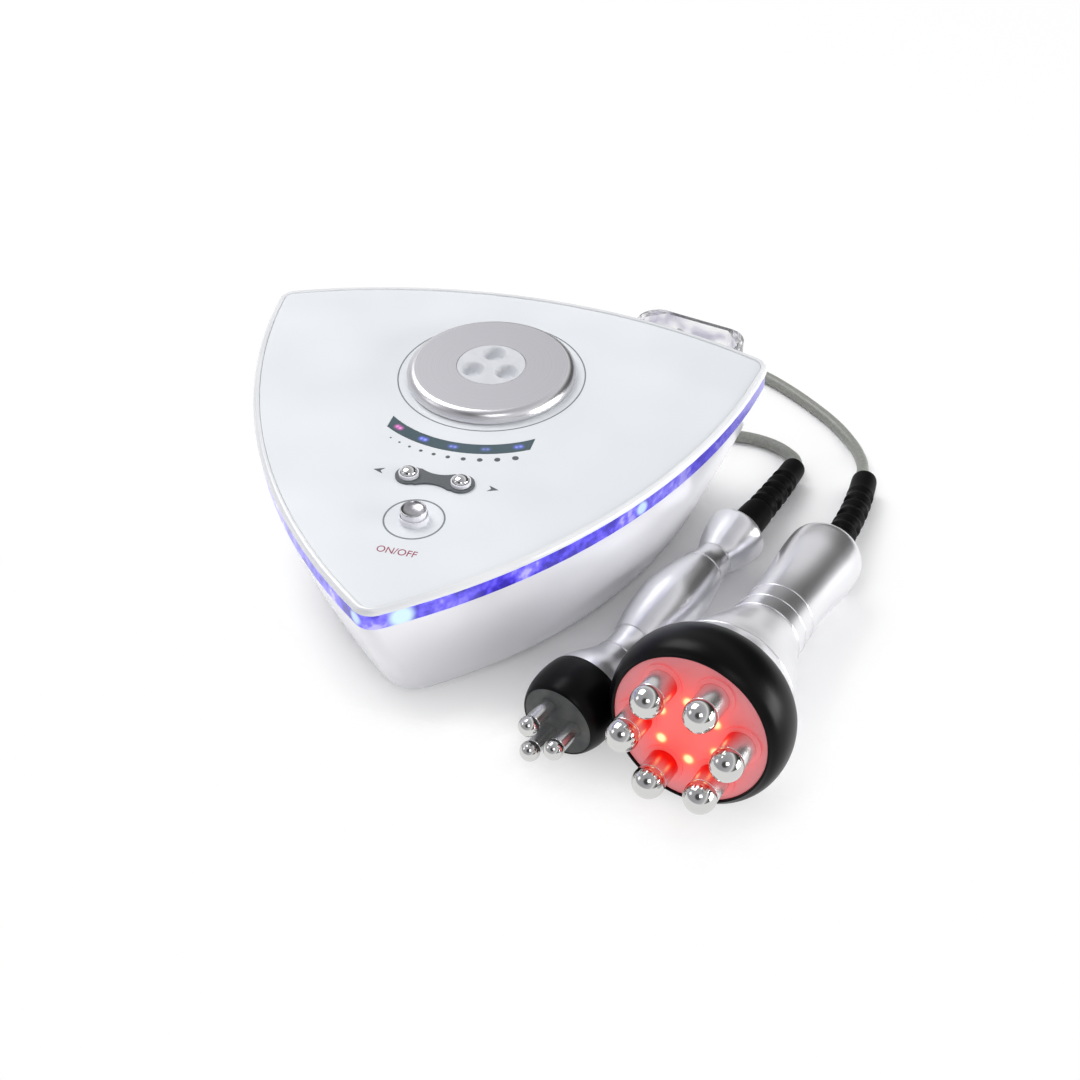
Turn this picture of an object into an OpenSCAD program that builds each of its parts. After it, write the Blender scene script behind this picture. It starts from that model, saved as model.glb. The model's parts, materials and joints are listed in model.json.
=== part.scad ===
// Tabletop radio-frequency facial toning set, in millimetres, +Z up from the table.
// A three-sided base unit, a small three-point handpiece and a large six-point handpiece lie beside
// each other with their coiled cables. The origin is the middle of the set's footprint on the table.

/* [Base unit] */
// Distance from the middle of the lid to each corner
base_reach = 140; // [120:1:168]
// Distance from the middle of the lid to the middle of each side
base_side = 98; // [88:1:118]
// Radius of the lid's corners
base_corner_r = 9; // [8.8:0.1:12]
// Distance from the middle of the underside to each corner
foot_reach = 106; // [98:1:112]
// Distance from the middle of the underside to the middle of each side
foot_side = 76; // [72:1:84]
// Radius of the underside's corners
foot_corner_r = 16; // [12:1:20]
// Height of the lower housing's rim above the table
rim_z = 70; // [62:1:84]
// Height of the lit ring between housing and lid
ring_h = 7; // [5:0.5:9]
// Height of the lid's bead above the lit ring
lid_h = 3.6; // [3.2:0.1:5]
// Thickness of the moulded walls
wall = 2.6; // [2:0.1:3.2]
// Radius of the rounding round the underside
foot_fillet = 4; // [3:0.5:5]
// Height of the rubber feet under the housing
foot_h = 3; // [2:0.5:5]
// Radius of a rubber foot
foot_r = 6.5; // [5:0.5:7]

/* [Top panel] */
// Width of the lid's border outside the panel
border_w = 3; // [2.4:0.1:4]
// Thickness of the panel
panel_t = 2; // [1.5:0.1:2.4]
// Distance of the parking disc behind the middle of the lid
disc_y = 27.75; // [24:0.25:32]
// Radius of the parking disc
disc_r = 39.5; // [33:0.5:41]
// Height of the parking disc
disc_h = 6; // [5:0.5:8]
// Radius of the pale insert in the disc
insert_r = 16; // [15:0.5:19]
// Radius of the level window's inner edge, from the disc's middle
window_r = 53.7; // [50:0.1:56]
// Width of the level window
window_w = 6.5; // [5.5:0.1:7.5]
// Half the length of the level window across the lid
window_half = 33.2; // [30:0.1:36]
// Distance of the intensity buttons in front of the middle
keys_y = 54; // [50:1:58]
// Distance between the two intensity buttons
keys_pitch = 23.6; // [20:0.1:27]
// Radius of an intensity button
key_r = 3.5; // [2.8:0.1:4.2]
// Distance of the power button in front of the middle
power_y = 81; // [78:1:83]
// Radius of the power button
power_r = 5.5; // [4.6:0.1:6.6]
// How far a button travels
travel = 1; // [0.6:0.1:1.2]
// Gap between a button and the hole it moves in
button_gap = 0.3; // [0.2:0.05:0.4]

/* [Rear connectors and holder] */
// How far the rear connector face lies inside the lid's edge
rear_inset = 6; // [4:0.5:8]
// Width of the rear connector block
rear_w = 92; // [84:1:98]
// Height of the rear connector block
rear_h = 28; // [26:1:30]
// Place of the holder's middle along the back edge
holder_x = 68.5; // [60:0.5:74]
// Width of the handpiece holder
holder_w = 57; // [50:1:58]
// How far the holder reaches out past the lid's edge
holder_out = 40.5; // [40:0.5:44]
// Height of the holder's rim above the table
holder_top = 60; // [56:1:64]
// Height of the holder's wall
holder_h = 23.5; // [20:0.5:25]
// Thickness of the holder's wall
holder_t = 2.4; // [2:0.1:3]

/* [Small handpiece] */
// Length of the small handle behind its face
small_len = 154; // [150:1:160]
// Largest radius of the small head
small_head_r = 19.6; // [18.5:0.1:20]
// Radius of the small handpiece's grey face
small_face_r = 16.2; // [15.5:0.1:16.6]
// Largest radius of the small handle's tail
small_tail_r = 14.4; // [14:0.1:15]
// Radius of a ball on the small handpiece
small_ball_r = 4.4; // [3.8:0.1:5]
// Radius of the circle of small balls
small_ring_r = 8; // [7.2:0.1:8.6]

/* [Large handpiece] */
// Length of the large handle behind its face
big_len = 152.5; // [148:0.5:158]
// Largest radius of the large head's ring
big_head_r = 38.6; // [37:0.1:39]
// Radius of the large handpiece's lit face
big_face_r = 33; // [31:0.1:34]
// Largest radius of the large handle's tail
big_tail_r = 18.3; // [17.5:0.1:18.8]
// Radius of a ball on the large handpiece
big_ball_r = 6.9; // [5.8:0.1:7.6]
// Radius of the circle of large balls
big_ring_r = 22.2; // [20:0.1:23]

/* [Cables] */
// Outside diameter of both cables
cable_d = 6; // [5:0.1:6.4]
// Radius of a cable plug's coupling nut
plug_r = 8.2; // [7.6:0.1:9.8]

/* [Hidden] */
$fn = 64;

// Place of the base unit's middle in the set's frame
set_x = -29;
set_y = 12;

// Heights in the base
base_z = foot_h;
floor_z = base_z + wall;
lid_z = rim_z + ring_h;
plate_t = 1;
panel_z = lid_z + plate_t;
top_z = panel_z + panel_t;
disc_z = top_z + disc_h;
ring_step = 0.6;
ring_t = 4;
skirt_in = 6;
skirt_t = 1.4;
skirt_h = 10;
eps = 0.01;

// Screws and bosses
screw_r = 1.3;
screw_clear = 0.4;
boss_r = 4.5;
boss_top = rim_z - 10;
screw_reach = foot_reach - 9;
foot_at = foot_reach - 22;
counterbore_r = 3.5;
counterbore_h = 7.5;
board_screw_r = 1.1;
board_boss_r = 3;

// Boards
board_t = 1.6;
main_board = [96, 62];
main_y = 28;
main_z = floor_z + 6.4;
main_holes = [for (x = [-43, 43], y = [main_y - 26, main_y + 26]) [x, y]];
control_z = lid_z - 10.6;
control_holes = [[-34, -36], [34, -36], [-14, -69], [14, -69]];
switch_size = [6, 6, 3.5];
keys = [[-keys_pitch / 2, -keys_y], [keys_pitch / 2, -keys_y]];
power = [0, -power_y];
led_r = 1.5;
led_count = 5;
led_step = 14.7;
led_ring_r = window_r + window_w / 2;
dock_screw_ring = disc_r * 0.7;

// Rear face
rear_y = base_side - rear_inset;
rear_z0 = base_z + 5;
rear_panel_t = 2;
rear_lip = 2.6;
rear_ledge = 1.6;
socket_xs = [-27, -3];
socket_z = rear_z0 + rear_h / 2;
socket_r = 7.5;
socket_bore_r = 6.2;
inlet_x = 23;
rear_screws = [for (s = [-1, 1]) [s * (rear_w / 2 - 5.5), socket_z]];
rear_boss_r = 3;

// ---------------------------------------------------------------- outlines
// Radius of the side arcs of a three-sided outline whose corner arcs meet them without a kink.
function side_r(reach, side, corner) =
  let(q = reach - corner)
  (q * q + side * side - q * side - corner * corner) / (2 * side - 2 * corner - q);

// Half the angle that a side arc spans about its own middle.
function side_half(reach, side, corner) =
  let(q = reach - corner, r = side_r(reach, side, corner))
  atan2(q * sin(60), q * cos(60) + r - side);

side_steps = 22;
corner_steps = 10;

// Points round a bulged triangle, anticlockwise, starting on the back side.
function tri(reach, side, corner) =
  let(q = reach - corner, r = side_r(reach, side, corner), half = side_half(reach, side, corner))
  [for (k = [0:2]) each concat(
    [for (i = [0:side_steps - 1]) let(a = 90 + 120 * k - half + 2 * half * i / side_steps)
      [r * cos(a) - (r - side) * cos(90 + 120 * k), r * sin(a) - (r - side) * sin(90 + 120 * k)]],
    [for (i = [0:corner_steps - 1])
      let(a = 90 + 120 * k + half + (120 - 2 * half) * i / corner_steps, c = 150 + 120 * k)
      [q * cos(c) + corner * cos(a), q * sin(c) + corner * sin(a)]])];

// The lid's outline moved inwards by d.
function lid(d) = tri(base_reach - d, base_side - d, base_corner_r - d);

function at_z(points, z) = [for (p = points) [p[0], p[1], z]];

// A closed skin through rings of equal point counts, capped at the first and the last ring.
module loft(rings) {
  n = len(rings[0]);
  m = len(rings);
  polyhedron(
    points = [for (r = rings) each r],
    faces = concat(
      [[for (i = [0:n - 1]) i]],
      [for (k = [0:m - 2], i = [0:n - 1]) let(j = (i + 1) % n)
        each [[k * n + i, (k + 1) * n + i, (k + 1) * n + j], [k * n + i, (k + 1) * n + j, k * n + j]]],
      [[for (i = [n - 1:-1:0]) (m - 1) * n + i]]),
    convexity = 6);
}

// ---------------------------------------------------------------- small shapes
module ring(ro, ri, h) {
  difference() {
    cylinder(r = ro, h = h);
    translate([0, 0, -1]) cylinder(r = ri, h = h + 2);
  }
}

// A stadium in the XY plane, w long and h wide.
module stadium(w, h) {
  square([w - h, h], center = true);
  for (s = [-1, 1]) translate([s * (w - h) / 2, 0]) circle(d = h);
}

// A rectangle in the XY plane with rounded corners.
module rounded(w, h, r) {
  square([w - 2 * r, h], center = true);
  square([w, h - 2 * r], center = true);
  for (x = [-1, 1], y = [-1, 1]) translate([x * (w / 2 - r), y * (h / 2 - r)]) circle(r);
}

// Pan-head screw with its head's underside at z = 0 and its shank downwards.
module screw(r, length, head_r, head_h) {
  translate([0, 0, -length]) cylinder(r = r, h = length + eps);
  difference() {
    cylinder(r = head_r, h = head_h);
    translate([0, 0, head_h / 2]) cylinder(r = head_r * 0.45, h = head_h, $fn = 6);
  }
}

// Children turned so that their +Z points along +Y, standing at y.
module facing_back(x, y, z) {
  translate([x, y, z]) rotate([-90, 0, 0]) children();
}

module at_corners(d) {
  for (k = [0:2]) rotate([0, 0, 30 + 120 * k]) translate([d, 0, 0]) children();
}

// ---------------------------------------------------------------- lower housing
bulge = 1.12;
wall_levels = 9;
inner_levels = 5;
fillet_steps = 3;
corner_wall = 1.3;

function mix(a, b, t) = a + (b - a) * t;
function depth_share(z) = pow((rim_z - z) / (rim_z - base_z), bulge);

// The housing's outline at height z, moved inwards by d at the sides.
function hull_ring(z, d, corner_d) =
  let(t = depth_share(z))
  at_z(tri(mix(base_reach - ring_step, foot_reach, t) - corner_d,
    mix(base_side - ring_step, foot_side, t) - d,
    mix(base_corner_r - ring_step, foot_corner_r, t) - d * 0.8), z);

// Outer rings from the underside up to the rim; grow widens them for parts that fit against the wall.
function outer_rings(grow = 0) = concat(
  [for (i = [0:fillet_steps]) let(a = 90 * i / fillet_steps,
      z = base_z + foot_fillet * (1 - cos(a)), d = foot_fillet * (1 - sin(a)) - grow)
    hull_ring(z, d, d)],
  [for (i = [1:wall_levels]) let(z = mix(base_z + foot_fillet, rim_z, i / wall_levels))
    hull_ring(z, -grow, -grow)]);

function inner_rings() =
  [for (i = [inner_levels:-1:0]) hull_ring(mix(floor_z, rim_z, i / inner_levels), wall, wall * corner_wall)];

module rear_block(grow, y0, y1) {
  translate([0, y0, rear_z0 + rear_h / 2]) rotate([-90, 0, 0])
    linear_extrude(y1 - y0) rounded(rear_w - 2 * grow, rear_h - 2 * grow, 5 - grow);
}

rear_depth = 22;

// Shell and connector block, hollow, with the ledge that the rear panel lies on.
module housing_shell() {
  difference() {
    union() {
      loft(concat(outer_rings(), inner_rings()));
      rear_block(0, rear_y - rear_depth, rear_y);
    }
    rear_block(rear_lip, rear_y - rear_depth - 1, rear_y - rear_panel_t - rear_ledge);
    rear_block(rear_lip - 1.2, rear_y - rear_panel_t, rear_y + 1);
    rear_block(rear_lip + 1.4, rear_y - rear_depth, rear_y + 1);
  }
}

module lower_housing() {
  color("white") difference() {
    union() {
      housing_shell();
      at_corners(screw_reach) translate([0, 0, floor_z - 1]) cylinder(r = boss_r, h = boss_top - floor_z + 1);
      for (p = main_holes) translate([p[0], p[1], floor_z - 1])
        cylinder(r = board_boss_r, h = main_z - floor_z + 1);
      for (p = rear_screws) facing_back(p[0], rear_y - rear_panel_t - 9, p[1]) cylinder(r = rear_boss_r, h = 9);
      at_holder() for (x = holder_screw_at) facing_back(x, holder_seat, holder_screw_z)
        cylinder(r = 3.2, h = 2.7);
    }
    for (p = rear_screws) facing_back(p[0], rear_y - 9, p[1]) cylinder(r = board_screw_r, h = 10);
    at_corners(screw_reach) translate([0, 0, -1]) cylinder(r = screw_r + screw_clear, h = rim_z);
    at_corners(screw_reach) translate([0, 0, -1]) cylinder(r = counterbore_r, h = base_z + counterbore_h + 1);
    at_corners(foot_at) translate([0, 0, -1]) cylinder(r = 2.4, h = floor_z + 2);
    for (p = main_holes) translate([p[0], p[1], base_z + 1]) cylinder(r = board_screw_r, h = main_z);
    for (x = [-22:5.5:22], y = [-34, 20]) translate([x - 1, y, 0]) cube([2, 16, floor_z + 1]);
    holder_holes();
  }
}

module rubber_feet() {
  color("dimgray") at_corners(foot_at) {
    rotate_extrude() polygon([[0, 0], [foot_r - 0.8, 0], [foot_r, 0.8], [foot_r, base_z], [0, base_z]]);
    translate([0, 0, base_z - eps]) cylinder(r = 2.35, h = wall + 0.8);
    translate([0, 0, floor_z + 0.1]) cylinder(r1 = 2.9, r2 = 2.2, h = 1.4);
  }
}

module housing_screws() {
  color("gray") at_corners(screw_reach) translate([0, 0, base_z + counterbore_h]) mirror([0, 0, 1])
    screw(screw_r, lid_z - 4 - base_z - counterbore_h, counterbore_r - 0.4, 2.4);
}

// ---------------------------------------------------------------- lit ring and lid
module outline_band(d0, d1, z0, z1) {
  translate([0, 0, z0]) linear_extrude(z1 - z0) difference() {
    polygon(lid(d0));
    polygon(lid(d1));
  }
}

module light_ring() {
  color([0.35, 0.3, 0.95, 0.7]) outline_band(ring_step, ring_step + ring_t, rim_z, lid_z);
}

strip_back = skirt_in - 0.05;
strip_front = skirt_in - 0.55;

module light_strip() {
  r = side_r(base_reach, base_side, base_corner_r);
  half = side_half(base_reach, base_side, base_corner_r);
  led_angle = half * 0.94 / 9;
  color("ivory") {
    outline_band(strip_front, strip_back, rim_z + 1, lid_z - 1);
    for (k = [0:2]) rotate([0, 0, 120 * k]) translate([0, base_side - r, rim_z + ring_h / 2])
      for (i = [-9:9]) rotate([0, 0, i * led_angle])
        translate([-1.75, r - strip_front - 0.1, -1.4]) cube([3.5, 0.75, 2.8]);
  }
}

// The lid's section: distance inside the outline and height, from its underside round the bead.
lid_section = [[0.8, 0], [0, 0.8], [0, 1.6], [0.15, 2.3], [0.6, lid_h - 0.6], [1.3, lid_h - 0.15],
  [2, lid_h], [border_w - 0.35, lid_h - 0.1], [border_w, lid_h - 0.5], [border_w, plate_t]];

module button_holes(r_power, r_key, z0, z1) {
  translate([power[0], power[1], z0]) cylinder(r = r_power, h = z1 - z0);
  for (p = keys) translate([p[0], p[1], z0]) cylinder(r = r_key, h = z1 - z0);
}

module dock_holes(r, z0, z1) {
  for (a = [90, 210, 330])
    translate([dock_screw_ring * cos(a), disc_y + dock_screw_ring * sin(a), z0]) cylinder(r = r, h = z1 - z0);
}

module at_leds(z) {
  for (i = [0:led_count - 1]) let(a = -90 + (i - (led_count - 1) / 2) * led_step)
    translate([led_ring_r * cos(a), disc_y + led_ring_r * sin(a), z]) rotate([0, 0, a]) children();
}

module top_cover() {
  color("white") difference() {
    union() {
      loft([for (p = lid_section) at_z(lid(p[0]), lid_z + p[1])]);
      outline_band(skirt_in, skirt_in + skirt_t, lid_z - skirt_h, lid_z + eps);
      at_corners(screw_reach) translate([0, 0, boss_top]) cylinder(r = boss_r, h = lid_z - boss_top + eps);
      for (p = control_holes) translate([p[0], p[1], control_z + board_t])
        cylinder(r = board_boss_r, h = lid_z - control_z - board_t + eps);
    }
    button_holes(power_r + button_gap, key_r + button_gap, lid_z - 1, panel_z + 1);
    dock_holes(screw_r + 0.3, lid_z - 1, panel_z + 1);
    at_leds(lid_z - 1) cylinder(r = led_r + 0.3, h = plate_t + 2);
    at_corners(screw_reach) translate([0, 0, boss_top - 1]) cylinder(r = screw_r, h = lid_z - boss_top - 2);
    for (p = control_holes) translate([p[0], p[1], control_z]) cylinder(r = board_screw_r, h = 8);
  }
}

panel_gap = 0.15;

module window_shape(grow) {
  intersection() {
    difference() {
      circle(window_r + window_w + grow);
      circle(window_r - grow);
    }
    translate([-window_half - grow, -window_r - window_w - 5]) square([2 * (window_half + grow), window_r + window_w]);
  }
}

module top_panel() {
  color("aliceblue") difference() {
    translate([0, 0, panel_z]) linear_extrude(panel_t) difference() {
      polygon(lid(border_w + panel_gap));
      translate([0, disc_y]) window_shape(panel_gap);
    }
    button_holes(power_r + button_gap, key_r + button_gap, panel_z - 1, top_z + 1);
    dock_holes(screw_r + 0.3, panel_z - 1, top_z + 1);
  }
}

// ---------------------------------------------------------------- parking disc
edge_r = 2.6;
disc_base_r = disc_r - 2;
insert_gap = 0.1;
insert_z = top_z + 1.3;
insert_top = disc_z + 0.2;
dimple_ring = small_ring_r + 1;
dimple_r = small_ball_r + 1;
dimple_up = 1.5;
dimple_turn = 97;

module dock_disc() {
  color("silver") difference() {
    translate([0, disc_y, top_z]) rotate_extrude($fn = 96) polygon(concat(
      [[0, 0], [disc_base_r, 0]],
      [for (a = [-60:15:0]) [disc_r - edge_r + edge_r * cos(a), disc_h / 2 - 0.4 + edge_r * sin(a)]],
      [for (a = [0:15:75]) [disc_r - edge_r + edge_r * cos(a), disc_h / 2 + 0.3 + edge_r * sin(a)]],
      [[disc_r - edge_r, disc_h], [0, disc_h]]));
    translate([0, disc_y, insert_z]) cylinder(r = insert_r + insert_gap, h = disc_h);
    dock_holes(screw_r, top_z - 1, top_z + disc_h - 2);
  }
}

module dock_insert() {
  color("gainsboro") translate([0, disc_y, 0]) difference() {
    translate([0, 0, insert_z]) rotate_extrude() polygon([[0, 0], [insert_r, 0],
      [insert_r, insert_top - insert_z - 0.5], [insert_r - 0.5, insert_top - insert_z], [0, insert_top - insert_z]]);
    for (a = [0, 120, 240]) rotate([0, 0, dimple_turn + a])
      translate([dimple_ring, 0, insert_top + dimple_up]) sphere(dimple_r);
  }
}

module dock_screws() {
  color("gray") for (a = [90, 210, 330])
    translate([dock_screw_ring * cos(a), disc_y + dock_screw_ring * sin(a), lid_z]) mirror([0, 0, 1])
      screw(screw_r - 0.05, panel_t + plate_t + disc_h - 2.6, 2.8, 2);
}

// ---------------------------------------------------------------- controls
module level_window() {
  color("darkslategray") translate([0, disc_y, panel_z]) linear_extrude(panel_t + 0.05) window_shape(0);
}

led_top = panel_z - 0.3;

module level_leds() {
  color("lavender") at_leds(0) {
    translate([0, 0, led_top - 4]) cylinder(r = led_r, h = 4);
    for (s = [-1, 1]) translate([0, s * 0.8, control_z + board_t]) cylinder(r = 0.3, h = led_top - 3.9 - control_z - board_t);
  }
}

key_plate_t = 0.9;
lobe_r = 6;
waist_w = 6.5;
waist_r = 14;

module key_plate() {
  color("dimgray") translate([0, -keys_y, top_z]) linear_extrude(key_plate_t) difference() {
    union() {
      for (s = [-1, 1]) translate([s * keys_pitch / 2, 0]) circle(lobe_r);
      square([keys_pitch, 2 * lobe_r - 1.4], center = true);
    }
    for (s = [-1, 1]) translate([0, s * (waist_w / 2 + waist_r)]) circle(waist_r);
    for (s = [-1, 1]) translate([s * keys_pitch / 2, 0]) circle(key_r + button_gap);
  }
}

// Height of the buttons' tops above the panel, and of the collars round them
key_up = 4.4;
key_collar_h = 1.6;
power_up = 5.8;
power_collar_h = 2.8;
collar_t = 0.6;

module button_bezels() {
  color("silver") {
    for (p = keys) translate([p[0], p[1], top_z + key_plate_t])
      ring(key_r + button_gap + collar_t, key_r + button_gap, key_collar_h);
    translate([power[0], power[1], top_z]) ring(power_r + button_gap + collar_t, power_r + button_gap, power_collar_h);
  }
}

button_rest = 0.3;
flange_t = 1.3;
plunger_r = 1.6;
switch_floor = 0.5;
stem_clear = 1;
stem_z = control_z + board_t + switch_floor + travel + stem_clear;

// A sprung push button: domed cap, flange under the lid and a stem that ends inside its switch.
module button(p, r, top) {
  dome = r * 0.28;
  translate([p[0], p[1], 0]) {
    rotate_extrude() polygon(concat([[0, lid_z - button_rest - eps]], [[r, lid_z - button_rest - eps]],
      [for (a = [0:15:90]) [r - dome + dome * cos(a), top - dome + dome * sin(a)]],
      [[0, top + dome * 0.25]]));
    translate([0, 0, lid_z - button_rest - flange_t]) cylinder(r = r + 1.2, h = flange_t);
    translate([0, 0, stem_z]) cylinder(r = plunger_r, h = lid_z - button_rest - flange_t - stem_z + eps);
  }
}

module power_button() {
  color("silver") button(power, power_r, top_z + power_up);
}

module intensity_down_button() {
  color("silver") button(keys[0], key_r, top_z + key_up);
}

module intensity_up_button() {
  color("silver") button(keys[1], key_r, top_z + key_up);
}

module control_pcb() {
  color("seagreen") difference() {
    translate([0, 0, control_z]) linear_extrude(board_t)
      polygon([[-39, -12], [-39, -42], [-12, -88], [12, -88], [39, -42], [39, -12]]);
    for (p = control_holes) translate([p[0], p[1], control_z - 1]) cylinder(r = board_screw_r + 0.2, h = board_t + 2);
  }
}

module tact_switches() {
  color("black") for (p = [power, keys[0], keys[1]])
    translate([p[0], p[1], control_z + board_t]) difference() {
      translate([-switch_size[0] / 2, -switch_size[1] / 2, 0]) cube(switch_size);
      translate([0, 0, switch_floor]) cylinder(r = plunger_r + 0.3, h = switch_size[2]);
    }
}

// ---------------------------------------------------------------- power side
module main_pcb() {
  color("seagreen") difference() {
    translate([-main_board[0] / 2, main_y - main_board[1] / 2, main_z]) cube([main_board[0], main_board[1], board_t]);
    for (p = main_holes) translate([p[0], p[1], main_z - 1]) cylinder(r = board_screw_r + 0.2, h = board_t + 2);
  }
}

board_screw_head = [2.3, 1.6];

module board_screws() {
  color("gray") {
    for (p = main_holes) translate([p[0], p[1], main_z + board_t])
      screw(board_screw_r - 0.05, 6.5, board_screw_head[0], board_screw_head[1]);
    for (p = control_holes) translate([p[0], p[1], control_z]) mirror([0, 0, 1])
      screw(board_screw_r - 0.05, 6.5, board_screw_head[0], board_screw_head[1]);
    for (p = rear_screws) facing_back(p[0], rear_y, p[1])
      screw(board_screw_r - 0.05, 5, board_screw_head[0], board_screw_head[1]);
  }
}

core = [48, 18, 40];
core_y = -42;
core_limb = 16;
core_window = [8, 24];
core_z = floor_z;

module transformer_core() {
  color("slategray") translate([0, core_y, core_z]) difference() {
    translate([-core[0] / 2, -core[1] / 2, 0]) cube(core);
    for (s = [-1, 1]) translate([s * (core_limb + core_window[0]) / 2 - core_window[0] / 2, -core[1], 8])
      cube([core_window[0], 2 * core[1], core_window[1]]);
  }
}

module transformer_coil() {
  gap = 0.15;
  color("goldenrod") translate([0, core_y, core_z + 8 + gap]) difference() {
    translate([-core_limb / 2 - core_window[0] + gap, -core[1] / 2 - 8, 0])
      cube([core_limb + 2 * core_window[0] - 2 * gap, core[1] + 16, core_window[1] - 2 * gap]);
    translate([-core_limb / 2 - gap, -core[1] / 2 - gap, -1]) cube([core_limb + 2 * gap, core[1] + 2 * gap, core_window[1] + 2]);
  }
}

sink = [42, 26, 24];
sink_at = [-22, 22];
fin_pitch = 5.5;

module heatsink() {
  color("silver") translate([sink_at[0] - sink[0] / 2, sink_at[1], main_z + board_t]) {
    cube([sink[0], 3, sink[2]]);
    for (x = [0:fin_pitch:sink[0] - 1]) translate([x, 2.9, 0]) cube([1.6, sink[1] - 3, sink[2]]);
  }
}

module power_transistors() {
  color("black") for (x = [-9, 9]) translate([sink_at[0] + x - 5, sink_at[1] - 4.6, main_z + board_t]) {
    translate([0, 0, 4]) cube([10, 4.6, 15]);
    for (i = [-1:1]) translate([5 + 2.5 * i - 0.4, 2, 0]) cube([0.8, 0.8, 4.1]);
  }
}

capacitor_spots = [[18, 10, 6, 24], [33, 12, 5, 18], [18, 26, 4, 13], [-10, 9, 4, 13]];

module capacitors() {
  color("midnightblue") for (c = capacitor_spots)
    translate([c[0], c[1], main_z + board_t]) cylinder(r = c[2], h = c[3]);
}

coil_at = [27, 44];
coil_r = 9;
coil_tube = 3.8;

module output_coil() {
  color("chocolate") translate([coil_at[0], coil_at[1], main_z + board_t + coil_tube])
    rotate_extrude() translate([coil_r, 0]) circle(coil_tube, $fn = 24);
}

// Flat cable from the main board up to the control board, and leads from the board to the connectors.
ribbon_x = 8;
ribbon_t = 0.9;

module wiring_harness() {
  ribbon_y = -3.5;
  color("lightgray") {
    translate([-ribbon_x, ribbon_y, main_z + board_t]) cube([2 * ribbon_x, ribbon_t, control_z - main_z - board_t - 2]);
    translate([-ribbon_x, -14, control_z - 2.01]) cube([2 * ribbon_x, 10.5 + ribbon_t, ribbon_t]);
    translate([-ribbon_x, -14, control_z - 2.01]) cube([2 * ribbon_x, ribbon_t, 2.01]);
    translate([-ribbon_x, ribbon_y, main_z + board_t]) cube([2 * ribbon_x, 5, 2.4]);
    for (x = socket_xs, s = [-1, 1]) {
      translate([x + 2.5 * s, rear_y - 34, main_z + board_t]) cylinder(r = 0.9, h = socket_z - main_z - board_t);
      facing_back(x + 2.5 * s, rear_y - 34, socket_z) cylinder(r = 0.9, h = 34 - socket_back);
      translate([x + 2.5 * s, rear_y - 34, socket_z]) sphere(0.9);
    }
  }
}

// ---------------------------------------------------------------- rear connectors
module rear_panel() {
  color("whitesmoke") difference() {
    rear_block(rear_lip - 1.1, rear_y - rear_panel_t + 0.02, rear_y);
    for (x = socket_xs) facing_back(x, rear_y - 10, socket_z) cylinder(r = socket_r + 0.1, h = 20);
    translate([inlet_x, rear_y - 10, socket_z]) rotate([-90, 0, 0]) linear_extrude(20) stadium(22.2, 12.2);
    for (p = rear_screws) facing_back(p[0], rear_y - 10, p[1]) cylinder(r = board_screw_r, h = 20);
  }
}

inlet_depth = 12;
inlet_pin = 4.3;
inlet_pin_r = 1.18;
inlet_pin_len = 8.5;
inlet_root_r = 1.6;
inlet_floor = rear_y + 1.4 - inlet_depth;

module mains_inlet() {
  color("black") difference() {
    translate([inlet_x, rear_y - 16, socket_z]) rotate([-90, 0, 0]) {
      linear_extrude(16.8) stadium(22, 12);
      translate([0, 0, 16]) linear_extrude(1.4) stadium(26, 15.5);
    }
    translate([inlet_x, inlet_floor, socket_z]) rotate([-90, 0, 0])
      linear_extrude(inlet_depth + 1) stadium(17.6, 8.8);
    for (s = [-1, 1]) facing_back(inlet_x + s * inlet_pin, rear_y - 17, socket_z)
      cylinder(r = inlet_root_r + 0.02, h = 10);
  }
}

// The two poles, each with a thicker root held in the moulding.
module inlet_pins() {
  root = inlet_floor - rear_y + 20;
  color("silver") for (s = [-1, 1]) facing_back(inlet_x + s * inlet_pin, rear_y - 20, socket_z) {
    cylinder(r = inlet_root_r, h = root);
    cylinder(r = inlet_pin_r, h = root + inlet_pin_len);
  }
}

socket_back = 18;

module handpiece_sockets() {
  color("silver") for (x = socket_xs) facing_back(x, rear_y - socket_back, socket_z) difference() {
    union() {
      cylinder(r = socket_r, h = socket_back + 0.5);
      translate([0, 0, socket_back]) cylinder(r = socket_r + 2.2, h = 1.5);
    }
    translate([0, 0, socket_back - 8]) cylinder(r = socket_bore_r, h = 12);
  }
}

module socket_nuts() {
  color("silver") for (x = socket_xs) facing_back(x, rear_y - rear_panel_t - 3, socket_z) difference() {
    cylinder(r = socket_r + 2.6, h = 3, $fn = 6);
    translate([0, 0, -1]) cylinder(r = socket_r + 0.02, h = 5);
  }
}

// ---------------------------------------------------------------- handpiece holder
lid_side_r = side_r(base_reach, base_side, base_corner_r);
holder_turn = -asin(holder_x / lid_side_r);
holder_base_in = 20;
holder_fit = 0.15;
holder_screw_at = [-14, 14];
holder_screw_z = holder_top - 10;

// Children drawn with +Y pointing straight out of the back edge at the holder's place.
module at_holder() {
  translate([0, base_side - lid_side_r, 0]) rotate([0, 0, holder_turn]) translate([0, lid_side_r, 0]) children();
}

holder_corner_r = 11;

module holder_outline() {
  translate([0, (holder_out - holder_base_in) / 2]) rounded(holder_w, holder_out + holder_base_in, holder_corner_r);
}

module holder_holes() {
  at_holder() for (x = holder_screw_at) facing_back(x, holder_seat - 1, holder_screw_z)
    cylinder(r = screw_r + 0.3, h = 8);
}

// Inner face of the flat spots that the holder's screw heads bear on, from the lid's edge.
holder_plate = 3;
holder_wall_in = (rim_z - holder_top) * (base_side - foot_side) / (rim_z - base_z);
holder_seat = mix(base_side - ring_step, foot_side, depth_share(holder_screw_z)) - wall - base_side - 2.3;
holder_screw_len = 8;
slot_cut = 9;

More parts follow.
